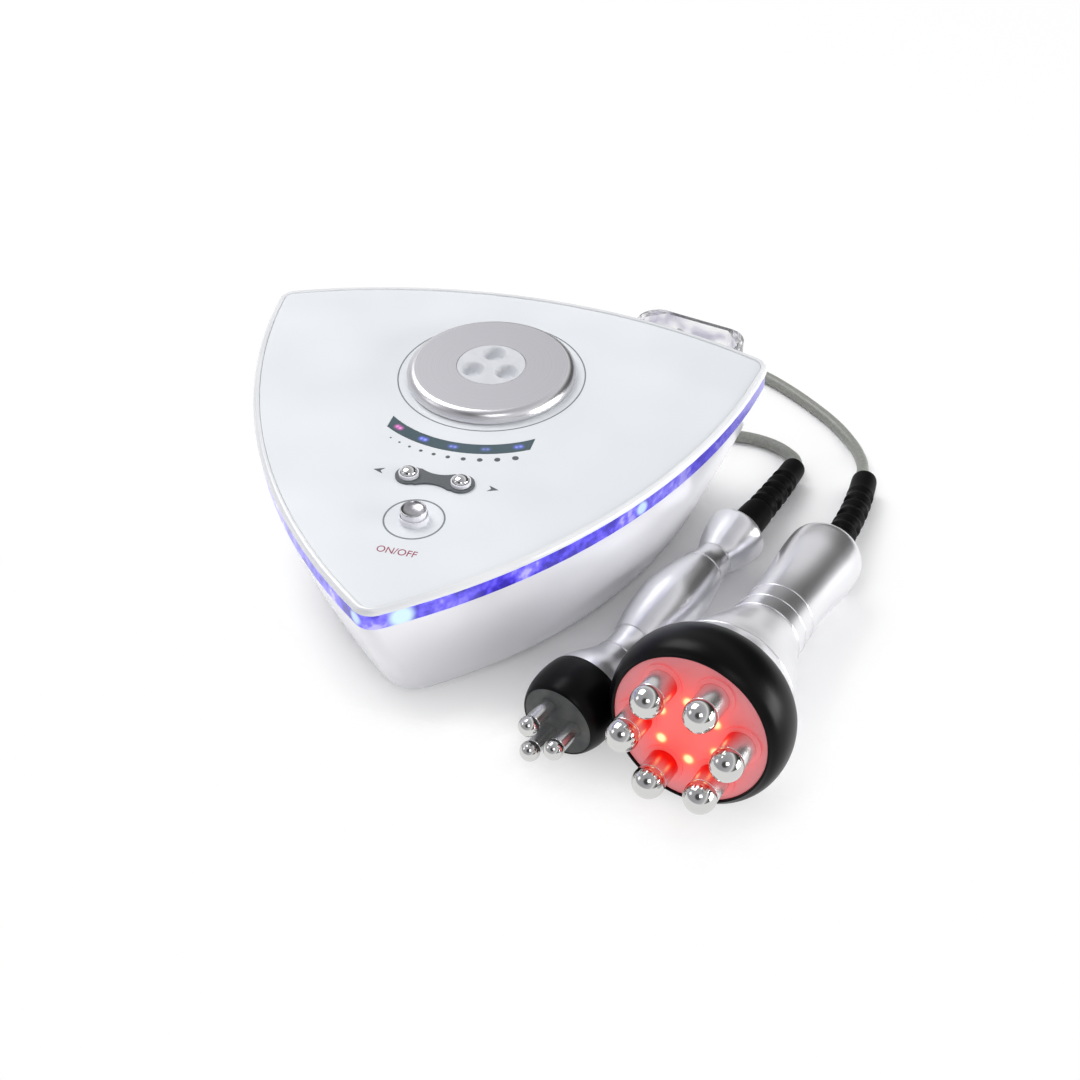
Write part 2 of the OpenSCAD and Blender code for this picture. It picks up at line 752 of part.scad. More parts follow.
// The slot a handpiece hangs in, with its corners cut off.
module holder_slot(y0, y1) {
  x = holder_w / 2 - holder_t;
  polygon([[-x, y0 + slot_cut], [slot_cut - x, y0], [x - slot_cut, y0], [x, y0 + slot_cut],
    [x, y1 - slot_cut], [x - slot_cut, y1], [slot_cut - x, y1], [-x, y1 - slot_cut]]);
}

module handpiece_holder() {
  back = -holder_wall_in + holder_plate;
  color([0.9, 0.93, 0.97, 0.35]) difference() {
    at_holder() translate([0, 0, holder_top - holder_h]) difference() {
      linear_extrude(holder_h) holder_outline();
      translate([0, 0, -1]) linear_extrude(holder_h + 2) holder_slot(back, holder_out - holder_t);
      for (x = holder_screw_at) facing_back(x, holder_seat, holder_screw_z - holder_top + holder_h)
        cylinder(r = screw_r, h = holder_screw_len + 0.5);
    }
    loft(outer_rings(holder_fit));
  }
}

module holder_screws() {
  color("gray") at_holder() for (x = holder_screw_at)
    facing_back(x, holder_seat, holder_screw_z) mirror([0, 0, 1]) screw(screw_r - 0.05, holder_screw_len, 2.8, 2);
}

// ---------------------------------------------------------------- handpieces
// A handpiece is drawn standing, face up at z = 0 and handle below, then laid on the table.
small_head_at = 12;
small_tail_at = small_len - 3;
big_head_at = 12;
big_tail_at = big_len - 7.5;
small_yaw = -108.35;
big_yaw = -103.2;
small_tail_place = [base_side - 4.1, 78.4];
big_tail_place = [base_side + 38.5, 88.2];
right_side = 330;

// Tilt of a laid handpiece that touches the table with its head and its tail.
function laid_tilt(head_r, head_at, tail_r, tail_at) = atan2(head_r - tail_r, tail_at - head_at);
small_tilt = laid_tilt(small_head_r, small_head_at, small_tail_r, small_tail_at);
big_tilt = laid_tilt(big_head_r, big_head_at, big_tail_r, big_tail_at);

// Point beside the base's right side: out from its middle and along it towards the back.
function beside(p) = [p[0] * cos(right_side) - p[1] * sin(right_side), p[0] * sin(right_side) + p[1] * cos(right_side)];

module laid(tail, yaw, tilt, tail_r, tail_at, lift) {
  translate([tail[0], tail[1], tail_r * cos(tilt) + lift]) rotate([0, 90 - tilt, yaw])
    translate([0, 0, tail_at]) children();
}

module small_laid() {
  laid(beside(small_tail_place), small_yaw, small_tilt, small_tail_r, small_tail_at, 0.1) children();
}

module big_laid() {
  laid(beside(big_tail_place), big_yaw, big_tilt, big_tail_r, big_tail_at, 0.4) children();
}

// Smooth curve through stations [distance behind the face, radius].
function curve_at(p0, p1, p2, p3, t) =
  0.5 * (2 * p1 + (p2 - p0) * t + (2 * p0 - 5 * p1 + 4 * p2 - p3) * t * t + (3 * p1 - p0 - 3 * p2 + p3) * t * t * t);
function smooth(s, n) = concat(
  [for (i = [0:len(s) - 2], k = [0:n - 1])
    curve_at(s[max(i - 1, 0)], s[i], s[i + 1], s[min(i + 2, len(s) - 1)], k / n)],
  [s[len(s) - 1]]);

// Turned shell along the stations, w thick.
module turned_shell(stations, w, steps = 3) {
  outer = smooth(stations, steps);
  inner = [for (i = [len(outer) - 1:-1:0]) [outer[i][0], outer[i][1] - w]];
  rotate_extrude($fn = 96) polygon([for (p = concat(outer, inner)) [p[1], -p[0]]]);
}

module groove(at, r) {
  translate([0, 0, -at]) rotate_extrude($fn = 96) polygon([[r - 0.5, 0], [r + 1, 1.2], [r + 1, -1.2]]);
}

shell_w = 2;
tail_core_r = 7;
tail_wall_in = 0.9;
tail_wall_t = 2.4;

// Wall across the handle's end that the strain relief passes through.
module tail_wall(length, r) {
  translate([0, 0, -length + tail_wall_in]) ring(r, tail_core_r, tail_wall_t);
}

module small_tail_shell() {
  color("silver") small_laid() {
    turned_shell([[small_len - 1, small_tail_r - 2.4], [small_len - 2, small_tail_r - 0.5], [small_tail_at, small_tail_r],
      [small_len - 6, small_tail_r - 0.25], [small_len - 11, small_tail_r - 1.3], [137, 11.5], [132.5, 9.6], [130, 8.9]], shell_w);
    tail_wall(small_len, small_tail_r - 2.5);
  }
}

module small_grip() {
  color("silver") small_laid() difference() {
    turned_shell([[129.8, 8.8], [124, 9.2], [118.5, 10.5], [113, 11.9], [106, 13.1], [98, 14.2], [90, 14.8],
      [81, 14.2], [70, 12.5], [63, 10.9], [59.6, 9.9]], shell_w);
    groove(118.5, 10.5);
  }
}

module small_cone() {
  color("silver") small_laid() difference() {
    turned_shell([[59.4, 9.6], [54, 9.1], [50, 9.2], [45.3, 9.8], [41, 11], [36, 13], [31, 15.4], [26, 17.5],
      [21.1, 18.7]], shell_w);
    groove(45.3, 9.8);
  }
}

module small_head() {
  color([0.08, 0.08, 0.08]) small_laid() rotate_extrude($fn = 96) polygon(concat(
    [for (p = smooth([[21, small_head_r - 0.7], [17, small_head_r - 0.15], [small_head_at, small_head_r],
      [7, small_head_r - 0.4], [3, small_head_r - 1.5], [0.8, small_face_r + 0.9], [0, small_face_r + 0.2]], 3)) [p[1], -p[0]]],
    [[small_face_r + 0.1, 0], [small_face_r + 0.1, -3.1], [small_face_r - 1.2, -3.1], [small_face_r - 1.2, -21]]));
}

module small_face() {
  color([0.3, 0.31, 0.32]) small_laid() difference() {
    translate([0, 0, -3]) cylinder(r = small_face_r, h = 2.7);
    for (a = [0, 120, 240]) rotate([0, 0, 93 + a]) translate([small_ring_r, 0, -4]) cylinder(r = small_pin_r + 0.05, h = 6);
  }
}

small_pin_r = small_ball_r - 0.8;
small_pin_out = 14.3;
small_pin_in = 8;

module small_electrodes() {
  color("silver") small_laid() for (a = [0, 120, 240]) rotate([0, 0, 93 + a]) translate([small_ring_r, 0, 0]) {
    translate([0, 0, -small_pin_in]) cylinder(r = small_pin_r, h = small_pin_in + small_pin_out);
    translate([0, 0, small_pin_out]) sphere(small_ball_r);
    translate([0, 0, -5.2]) cylinder(r = small_pin_r + 1.1, h = 2);
  }
}

module small_board() {
  color("seagreen") small_laid() translate([0, 0, -small_pin_in - board_t]) cylinder(r = small_face_r - 1.25, h = board_t);
}

core_cable_r = 2.3;

// Cable inside a handle, from the strain relief's flange to the board behind the face.
module inner_cable(length, board_back) {
  start = length - tail_wall_in - tail_wall_t - relief_flange_t - 0.1;
  translate([0, 0, -start]) cylinder(r = core_cable_r, h = start - board_back);
}

module small_inner_cable() {
  color("lightgray") small_laid() inner_cable(small_len, small_pin_in + board_t);
}

// Strain relief: a flange held behind the tail's end wall, a hub, then ribs on a core that bends
// to one side, with a smooth end.
relief_ribs = 10;
relief_steps = 13;
relief_flange_t = 2.2;
rib_share = 0.6;

module relief(r0, r1, hub, length, bend, roll) {
  arc_r = length / bend * 180 / PI;
  step = length / relief_steps;
  turn = bend / relief_steps;
  flange_z = -tail_wall_in - tail_wall_t - relief_flange_t - 0.05;
  translate([0, 0, flange_z]) cylinder(r = tail_core_r + 1.5, h = relief_flange_t);
  translate([0, 0, flange_z + eps]) cylinder(r = tail_core_r - 0.05, h = hub - flange_z - eps);
  rotate([0, 0, roll]) translate([arc_r, 0, hub - eps]) {
    for (i = [0:relief_ribs - 1]) rotate([0, turn * i, 0]) translate([-arc_r, 0, 0]) {
      cylinder(r = mix(r0, r1 + 0.3, i / (relief_ribs - 1)), h = step * rib_share);
      if (i < relief_ribs - 1) translate([0, 0, step * 0.3]) cylinder(r = r1 * 0.86, h = step - 0.2);
    }
    rotate([0, turn * (relief_ribs - 0.8), 0]) rotate([-90, 0, 0]) rotate([0, 0, 180])
      rotate_extrude(angle = turn * (relief_steps - relief_ribs + 0.8), $fn = 128)
        translate([arc_r, 0]) circle(r1, $fn = 32);
  }
}

module small_relief() {
  color([0.08, 0.08, 0.08]) small_laid() translate([0, 0, -small_len]) mirror([0, 0, 1])
    relief(8, 5.9, 1, 66, 11, 308);
}

// Large handpiece
big_groove_at = [92.7, 82];

module big_grip() {
  color("silver") big_laid() difference() {
    union() {
      turned_shell([[big_len - 0.8, big_tail_r - 2.8], [big_len - 1.6, big_tail_r - 1], [big_len - 4, big_tail_r - 0.15],
        [big_tail_at, big_tail_r], [137, 18.1], [126, 17.2], [115, 16.4], [104, 16], [93, 16.2], [82, 16.9], [72.8, 17.8]], shell_w);
      tail_wall(big_len, big_tail_r - 2.9);
    }
    groove(big_groove_at[0], 16.2);
    groove(big_groove_at[1], 16.9);
  }
}

module big_flare() {
  color("silver") big_laid() difference() {
    turned_shell([[72.6, 17.6], [67, 19.1], [62, 20.8], [55, 23.3], [48, 25.9], [41, 28.2], [34.8, 30.1], [29, 32.6],
      [24.1, 35]], shell_w);
    groove(34.8, 30.1);
  }
}

module big_head_ring() {
  color([0.08, 0.08, 0.08]) big_laid() rotate_extrude($fn = 128) polygon(concat(
    [for (p = smooth([[24, big_head_r - 2.9], [21.5, big_head_r - 1.6], [17, big_head_r - 0.4], [big_head_at, big_head_r],
      [7, big_head_r - 0.5], [3, big_head_r - 2], [0.6, big_head_r - 4], [-0.2, big_face_r + 0.9], [0, big_face_r + 0.2]], 3)) [p[1], -p[0]]],
    [[big_face_r + 0.1, -0.6], [big_face_r + 0.1, -4.1], [big_face_r - 1.6, -4.1], [big_face_r - 1.6, -24]]));
}

big_pin_r = big_ball_r - 0.35;
big_pin_out = 14;
big_pin_in = 10;
big_turn = 97;
stud_count = 6;

module at_studs(r) {
  for (i = [0:stud_count - 1]) rotate([0, 0, big_turn + i * 360 / stud_count]) translate([r, 0, 0]) children();
}

module big_face() {
  color([1, 0.35, 0.33, 0.75]) big_laid() difference() {
    union() {
      rotate_extrude($fn = 128) polygon([[0, -4], [big_face_r, -4], [big_face_r, -0.7], [big_face_r - 6, -0.1],
        [big_face_r - 16, 0.5], [0, 0.8]]);
      at_studs(big_ring_r) translate([0, 0, -1]) cylinder(r = big_pin_r + 2, h = 1.9);
    }
    at_studs(big_ring_r) translate([0, 0, -6]) cylinder(r = big_pin_r + 0.05, h = 10);
  }
}

module big_electrodes() {
  color("silver") big_laid() at_studs(big_ring_r) {
    translate([0, 0, -big_pin_in]) cylinder(r = big_pin_r, h = big_pin_in + big_pin_out);
    translate([0, 0, big_pin_out]) sphere(big_ball_r);
    translate([0, 0, -6.2]) cylinder(r = big_pin_r + 1.6, h = 2);
  }
}

led_circle = 13.6;

module big_led_board() {
  color("seagreen") big_laid() {
    translate([0, 0, -big_pin_in - board_t]) cylinder(r = big_face_r - 1.7, h = board_t);
    rotate([0, 0, 180 / stud_count]) at_studs(led_circle)
      translate([-2.5, -2.5, -big_pin_in - eps]) cube([5, 5, 2.2]);
  }
}

module big_inner_cable() {
  color("lightgray") big_laid() inner_cable(big_len, big_pin_in + board_t);
}

module big_relief() {
  color([0.08, 0.08, 0.08]) big_laid() translate([0, 0, -big_len]) mirror([0, 0, 1])
    relief(7.6, 6.2, 7, 67, 14, 260);
}

// ---------------------------------------------------------------- cables
cable_r = cable_d / 2;
cable_sides = 10;
coil_mid = 31;
coil_pitch = 6;
coil_low = 3;
small_coil_at = [-96, 150];
big_coil_at = [41, 152];
plug_out = 20;

// Routes of the cables' middles, in the base's frame
small_lead = [[-27, 112, 22], [-27, 119, 22], [-27.6, 127, 18.6], [-30, 135.4, 13.6], [-34.6, 144, 8.6],
  [-41, 152.4, 5], [-49, 160, 3.5], [-57.6, 166.6, 3.1], [-66, 172.4, 3.1]];
big_lead = [[-3, 112, 22], [-3, 119, 22], [-3, 127, 18.6], [-2.6, 135, 13.4], [-1.4, 143, 8.2], [0.6, 150.5, 4.6],
  [3.4, 158, 3.2]];
small_run = [[-96, 116, 8.2], [-84, 115.2, 9.2], [-72, 114.6, 9], [-60, 114, 6.6], [-48, 113.2, 4.2], [-36, 112.2, 3.2],
  [-22, 110.6, 3.1], [-6, 108.6, 3.1], [12, 106.8, 3.1], [30, 105.8, 3.1], [48, 105.8, 3.1], [66, 107.2, 3.1],
  [82, 109.8, 3.1], [95, 112.2, 3.1], [106, 113.4, 3.1], [116, 112.6, 3.1], [125.5, 109.2, 3.4], [132.6, 103.4, 4.4],
  [137, 96.4, 6.2], [138.3, 89.6, 7.7]];
big_run = [[41, 186, 8.2], [51, 187.2, 9.2], [61, 187, 8.8], [71, 185.4, 6], [82, 182.2, 3.6], [95, 177, 3.1],
  [110, 169.4, 3.1], [124, 160.2, 3.1], [138.5, 148.6, 3.1], [151, 136.8, 3.1], [160.5, 124.5, 3.4], [167, 111.5, 4.8],
  [170.4, 99.5, 6.6], [171.3, 89, 7.7]];

function unit(v) = v / norm(v);
function tangent(p, i) = unit(p[min(i + 1, len(p) - 1)] - p[max(i - 1, 0)]);
function tube_ring(c, t, r) =
  let(side = unit(cross(t, [0, 0, 1])), up = cross(side, t))
  [for (k = [0:cable_sides - 1]) let(a = 360 * k / cable_sides) c + r * (cos(a) * side + sin(a) * up)];

module tube(points, r) {
  loft([for (i = [len(points) - 1:-1:0]) tube_ring(points[i], tangent(points, i), r)]);
}

// Outer shape of a coil whose turns lie three below and two above.
module coil_solid(at) {
  wide = 1.5 * coil_pitch;
  high = coil_low + coil_pitch * 0.87 + cable_r;
  color("gray") translate([at[0], at[1], 0]) rotate_extrude($fn = 96) polygon([
    [coil_mid - wide + 1, 0.2], [coil_mid + wide - 1, 0.2], [coil_mid + wide, 1.2], [coil_mid + wide, 5],
    [coil_mid + wide - 3, high], [coil_mid - wide + 3, high], [coil_mid - wide, 5], [coil_mid - wide, 1.2]]);
}

// Flat tie round the coil's section at angle a.
module coil_tie(at, a) {
  wide = 3 * coil_pitch + 1.2;
  high = coil_low + coil_pitch * 0.87 + cable_r + 0.6;
  color("black") translate([at[0], at[1], 0]) rotate([0, 0, a]) translate([coil_mid, 0, 0]) difference() {
    translate([-wide / 2 - 0.8, -4, 0]) cube([wide + 1.6, 8, high + 0.8]);
    translate([-wide / 2, -5, -1]) cube([wide, 10, high + 1]);
  }
}

module plug(x) {
  color("silver") facing_back(x, rear_y, socket_z) {
    translate([0, 0, -6]) cylinder(r = socket_bore_r - 0.05, h = 8);
    translate([0, 0, 1.7]) cylinder(r = plug_r, h = 9);
    translate([0, 0, 10.6]) cylinder(r1 = plug_r - 1, r2 = cable_r + 1.8, h = plug_out - 13);
    translate([0, 0, plug_out - 2.5]) cylinder(r = cable_r + 1.2, h = 2.5);
  }
}

module small_plug() {
  plug(socket_xs[0]);
}

module big_plug() {
  plug(socket_xs[1]);
}

module small_cable() {
  color("gray") {
    tube(small_lead, cable_r);
    tube(small_run, cable_r);
  }
}

module big_cable() {
  color("gray") {
    tube(big_lead, cable_r);
    tube(big_run, cable_r);
  }
}

module small_cable_coil() {
  coil_solid(small_coil_at);
}

module big_cable_coil() {
  coil_solid(big_coil_at);
}

module small_cable_tie() {
  coil_tie(small_coil_at, 120);
}

module big_cable_tie() {
  coil_tie(big_coil_at, 300);
}

// ---------------------------------------------------------------- the set
module placed() {
  translate([set_x, set_y, 0]) children();
}

placed() lower_housing();
placed() rubber_feet();
placed() housing_screws();
placed() rear_panel();
placed() light_ring();
placed() light_strip();
placed() top_cover();
placed() top_panel();
placed() dock_disc();
placed() dock_insert();
placed() level_window();
placed() level_leds();
placed() key_plate();
placed() button_bezels();
placed() power_button();
placed() intensity_down_button();
placed() intensity_up_button();
placed() control_pcb();
placed() tact_switches();
placed() main_pcb();
placed() board_screws();
placed() dock_screws();
placed() transformer_core();
placed() transformer_coil();
placed() heatsink();
placed() power_transistors();
placed() capacitors();
placed() output_coil();
placed() wiring_harness();
placed() mains_inlet();
placed() inlet_pins();
placed() handpiece_sockets();
placed() socket_nuts();
placed() handpiece_holder();
placed() holder_screws();
placed() small_tail_shell();
placed() small_grip();
placed() small_cone();
placed() small_head();
placed() small_face();
placed() small_electrodes();
placed() small_board();
placed() small_inner_cable();
placed() small_relief();
placed() big_grip();
placed() big_flare();
placed() big_head_ring();
placed() big_face();
placed() big_electrodes();
placed() big_led_board();
placed() big_inner_cable();
placed() big_relief();
placed() small_plug();
placed() small_cable();
placed() small_cable_coil();
placed() small_cable_tie();
placed() big_plug();
placed() big_cable();
placed() big_cable_coil();
placed() big_cable_tie();
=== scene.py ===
# %% [markdown]
# # A tabletop facial toning set
# The set is a three-sided base unit with a lit rim and a parking disc, and two corded handpieces
# with ball-tipped studs. Its solid parts arrive as a packed assembly. This notebook keeps them where
# they are, gives every surface its finish, and models the soft and fine pieces that make the set
# look real: cables, ribbed strain reliefs, printed marks and the glow of its lamps.

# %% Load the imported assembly
import json
import math
import bpy
from mathutils import Matrix, Vector
from mathutils.geometry import interpolate_bezier

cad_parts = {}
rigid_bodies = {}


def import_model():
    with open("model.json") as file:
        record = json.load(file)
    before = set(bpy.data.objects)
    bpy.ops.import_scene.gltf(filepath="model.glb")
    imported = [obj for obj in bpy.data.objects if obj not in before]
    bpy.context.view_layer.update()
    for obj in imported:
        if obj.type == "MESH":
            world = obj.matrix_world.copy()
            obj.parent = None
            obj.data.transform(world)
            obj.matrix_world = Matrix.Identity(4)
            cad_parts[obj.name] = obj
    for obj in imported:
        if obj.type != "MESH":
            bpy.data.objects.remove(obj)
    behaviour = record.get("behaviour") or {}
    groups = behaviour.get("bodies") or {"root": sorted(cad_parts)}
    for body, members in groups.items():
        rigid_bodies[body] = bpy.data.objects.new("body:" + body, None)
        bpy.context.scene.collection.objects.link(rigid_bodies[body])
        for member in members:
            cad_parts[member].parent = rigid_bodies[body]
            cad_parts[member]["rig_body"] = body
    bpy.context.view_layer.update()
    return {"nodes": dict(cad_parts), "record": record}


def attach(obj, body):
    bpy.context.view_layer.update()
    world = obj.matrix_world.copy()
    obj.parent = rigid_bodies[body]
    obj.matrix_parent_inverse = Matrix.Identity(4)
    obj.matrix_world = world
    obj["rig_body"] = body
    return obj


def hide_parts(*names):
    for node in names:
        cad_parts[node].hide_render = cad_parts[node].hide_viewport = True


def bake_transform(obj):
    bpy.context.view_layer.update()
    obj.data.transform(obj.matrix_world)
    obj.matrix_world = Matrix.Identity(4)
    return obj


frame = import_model()
nodes = frame["nodes"]
body_of = {name: thing["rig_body"] for name, thing in nodes.items()}
slot_of = {part["node"]: part["material_slot"] for part in frame["record"]["subparts"]}

# %% [markdown]
# Every length on the drawing is in millimetres and is taken from the middle of the base unit, while
# Blender works in metres from the middle of the whole set. One short helper changes one into the
# other, so that the numbers below can be read off the drawing, and another finds points on circles.
# A third gives the place of a handpiece, which rests on the table with its head and its tail: it is
# worked out from the two radii that touch, as on the real table.

# %% From the drawing to the scene
MM = 0.001
BASE_PLACE = Vector((-29, 12, 0)) * MM
RIGHT_SIDE = math.radians(330)


def spot(x, y, z=0.0):
    """A point of the drawing, in metres of the set's own frame."""
    return Vector((x, y, z)) * MM + BASE_PLACE


def polar(radius, degrees, centre=(0, 0)):
    """A point on a circle."""
    turn = math.radians(degrees)
    return centre[0] + radius * math.cos(turn), centre[1] + radius * math.sin(turn)


def laid(tail, yaw, head_r, head_at, tail_r, tail_at, lift):
    """The place of a laid handpiece: its face is local z = 0 and its handle runs towards -z. Its
    tail's place is measured along and across the base's right side."""
    tilt = math.degrees(math.atan2(head_r - tail_r, tail_at - head_at))
    x = tail[0] * math.cos(RIGHT_SIDE) - tail[1] * math.sin(RIGHT_SIDE)
    y = tail[0] * math.sin(RIGHT_SIDE) + tail[1] * math.cos(RIGHT_SIDE)
    return (Matrix.Translation(spot(x, y, tail_r * math.cos(math.radians(tilt)) + lift))
            @ Matrix.Rotation(math.radians(yaw), 4, "Z")
            @ Matrix.Rotation(math.radians(90 - tilt), 4, "Y")
            @ Matrix.Translation((0, 0, tail_at * MM)))


SMALL_LENGTH, BIG_LENGTH = 154, 152.5
SMALL_HAND = laid((93.9, 78.4), yaw=-108.35, head_r=19.6, head_at=12, tail_r=14.4, tail_at=151, lift=0.1)
BIG_HAND = laid((136.5, 88.2), yaw=-103.2, head_r=38.6, head_at=12, tail_r=18.3, tail_at=145, lift=0.4)
print("small face at", [round(v / MM, 1) for v in SMALL_HAND.translation])
print("large face at", [round(v / MM, 1) for v in BIG_HAND.translation])

# %% [markdown]
# The camera stands in front of the set and a little to its right, and looks down at about forty
# degrees. A lens of 55 mm at three quarters of a metre keeps the lid's far corner only slightly
# smaller than the near one, so that the set looks as long as it is. The small roll is part of the
# view. The lens is worked out from its length in pixels, for a square frame of 1080.

# %% Camera
AZIMUTH, ELEVATION, ROLL = math.radians(16.74), math.radians(40.32), math.radians(-1.04)
AIM, DISTANCE = spot(40.88, -35.04, 40), 0.7444
SENSOR, FRAME_PIXELS, FOCAL_PIXELS = 36, 1080, 1663


def linked(name, data):
    """A new object in the scene."""
    made = bpy.data.objects.new(name, data)
    bpy.context.scene.collection.objects.link(made)
    return made


back = Vector((math.sin(AZIMUTH) * math.cos(ELEVATION), -math.cos(AZIMUTH) * math.cos(ELEVATION),
               math.sin(ELEVATION)))
right = Vector((math.cos(AZIMUTH), math.sin(AZIMUTH), 0))
up = back.cross(right)
turned_right = right * math.cos(ROLL) + up * math.sin(ROLL)
turned_up = up * math.cos(ROLL) - right * math.sin(ROLL)
lens = bpy.data.cameras.new("camera")
lens.sensor_width, lens.lens = SENSOR, SENSOR * FOCAL_PIXELS / FRAME_PIXELS
lens.clip_start, lens.clip_end = 0.01, 50
camera = linked("camera", lens)
camera.matrix_world = Matrix.Translation(AIM + back * DISTANCE) @ Matrix(
    (turned_right, turned_up, back)).transposed().to_4x4()
bpy.context.scene.camera = camera
print("camera at", [round(v, 4) for v in camera.location], "lens", round(lens.lens, 2))

# %% [markdown]
# A designer writes colours as hex codes, but shaders mix light in linear numbers, so one function
# converts them. Another adds a shader node with its options and its inputs. Most real surfaces have
# a fine relief and a slight change of tone that goes with it, so a third makes a whole finish from
# one noise of a real grain size. With those, each finish below is a short list of what it does.

# %% Colours, nodes and finishes
SHARE, UNDER, OVER = 0, 6, 7  # the sockets of a Mix node that mixes colours


def linear(code):
    """The linear numbers of an sRGB hex colour."""
    parts = [int(code[i:i + 2], 16) / 255 for i in (1, 3, 5)]
    return tuple(c / 12.92 if c <= 0.04045 else ((c + 0.055) / 1.055) ** 2.4 for c in parts) + (1.0,)


def feed(node, key, value):
    """Gives a node's input a value, an output, or the first output of another node."""
    if isinstance(value, bpy.types.Node):
        value = value.outputs[0]
    if isinstance(value, bpy.types.NodeSocket):
        node.id_data.links.new(value, node.inputs[key])
    else:
        node.inputs[key].default_value = value


def add(tree, kind, feeds, stops=(), **options):
    """Adds a shader node: options are its settings, feeds what its inputs get."""
    made = tree.nodes.new("ShaderNode" + kind)
    for key, value in options.items():
        setattr(made, key, value)
    for key, value in feeds.items():
        feed(made, key, value)
    for i, (position, code) in enumerate(stops):
        step = made.color_ramp.elements[i] if i < 2 else made.color_ramp.elements.new(position)
        step.position, step.color = position, linear(code)
    return made


def finish(name, code, roughness, metal=0.0, **more):
    """A new material with its Principled shader's constants set; returns both and the node tree."""
    made = bpy.data.materials.new(name)
    made.use_nodes = True
    tree = made.node_tree
    shader = tree.nodes["Principled BSDF"]
    feed(shader, "Base Color", linear(code))
    feed(shader, "Roughness", roughness)
    feed(shader, "Metallic", metal)
    for key, value in more.items():
        feed(shader, key.replace("_", " ").title().replace("Ior", "IOR"), value)
    return made, tree, shader


def grained(name, code, roughness, metal, size_mm, depth_mm, tones=(), detail=2.0, **more):
    """A finish with a grain of a real size and depth, and tones that follow the same grain."""
    made, tree, shader = finish(name, code, roughness, metal, **more)
    place = add(tree, "TexCoord", {}).outputs["Object"]
    noise = add(tree, "TexNoise", {"Vector": place, "Scale": 1000 / size_mm, "Detail": detail})
    bump = add(tree, "Bump", {"Height": noise, "Distance": depth_mm * MM})
    feed(shader, "Normal", bump)
    if tones:
        tone = add(tree, "ValToRGB", {"Fac": noise}, stops=tones)
        feed(shader, "Base Color", tone)
    return made


print("white", [round(c, 3) for c in linear("#F1F2F6")])

# %% [markdown]
# The cables are soft PVC over a braided shield, six millimetres thick. PVC of this grey is dull with
# a faint sheen, and its tone is slightly mottled from the extruder. The grain is coarser than the
# real one, so that it reads at this distance.

# %% Extruded grey PVC
cable_pvc = grained("extruded_grey_pvc", "#8B8D87", 0.42, 0.0, 1.6, 0.03,
                    [(0.3, "#82847E"), (0.75, "#95978F")], coat_weight=0.12, coat_roughness=0.3)
print("made", cable_pvc.name)

# %% [markdown]
# Each cable leaves its plug at the back of the base, drops to the table, is wound into a neat coil
# behind the base for storage, and then runs along the table to its handpiece. A Bezier curve through
# chosen points is the natural way to lay it: the curve passes through each point and rounds what is
# between. The coil is wound as a hand would do it: three turns on the table from the outside in, and
# then back out on top of them. Where a turn shifts sideways, it does so in the same sector as the
# turns beside it, so that no turn runs into another.

# %% A hand-wound coil
CABLE_R = 3 * MM
# radii at each turn's start and end, sectors in degrees, and heights of the cable's middle
TURN_RADII = [(37, 31), (31, 25), (25, 28), (31, 34), (34, 34)]
SHIFT_SECTOR, CLIMB_SECTOR, SETTLE_SECTOR = 60.7, 74, 40
WIDEN_BEFORE, WIDEN_SECTOR, WIDEN_FROM, WIDEN_BY = 71, 35, 28, 3
LOW, HIGH, NESTED = 3.05, 9.1, 8.4


def ease(t):
    """0 to 1 with a level start and a level end."""
    return (1 - math.cos(math.pi * min(max(t, 0), 1))) / 2


def coil(centre, hand, entry, leave, per_turn=20):
    """Points of a coil of four and a bit turns; hand is 1 anticlockwise from above, -1 clockwise."""
    end = 4 * 360 + (leave - entry) % 360
    count = round(end / 360 * per_turn)
    points = []
    for i in range(1, count):
        swept = end * i / count
        turn, part = int(swept // 360), swept % 360
        before_shift = part - (360 - SHIFT_SECTOR)
        start, stop = TURN_RADII[turn]
        r = start + (stop - start) * ease(before_shift / SHIFT_SECTOR)
        z = LOW
        if turn == 2:
            z = LOW + (HIGH - LOW) * ease((before_shift + CLIMB_SECTOR) / CLIMB_SECTOR)
        if turn >= 3:
            z = HIGH + (NESTED - HIGH) * ease(part / SETTLE_SECTOR)
        if turn == 3:
            out = ease((before_shift + WIDEN_BEFORE) / WIDEN_SECTOR)
            z += (HIGH - NESTED) * out
            r = WIDEN_FROM + WIDEN_BY * out if before_shift < 0 else r
        points.append((*polar(r, (entry + swept) * hand, centre), z))
    return points


small_lead = [(-27, 112, 22), (-27, 119, 22), (-27.6, 127, 18.6), (-30, 135.4, 13.6), (-34.6, 144, 8.6),
              (-41, 152.4, 5), (-49, 160, 3.5), (-57.6, 166.6, 3.1), (-66, 172.4, 3.1)]
big_lead = [(-3, 112, 22), (-3, 119, 22), (-3, 127, 18.6), (-2.6, 135, 13.4), (-1.4, 143, 8.2),
            (0.6, 150.5, 4.6), (3.4, 158, 3.2)]
small_run = [(-96, 116, 8.2), (-84, 115.2, 9.2), (-72, 114.6, 9), (-60, 114, 6.6), (-48, 113.2, 4.2),
             (-36, 112.2, 3.2), (-22, 110.6, 3.1), (-6, 108.6, 3.1), (12, 106.8, 3.1), (30, 105.8, 3.1),
             (48, 105.8, 3.1), (66, 107.2, 3.1), (82, 109.8, 3.1), (95, 112.2, 3.1), (106, 113.4, 3.1),
             (116, 112.6, 3.1), (125.5, 109.2, 3.4), (132.6, 103.4, 4.4), (137, 96.4, 6.2),
             (138.3, 89.6, 7.7)]
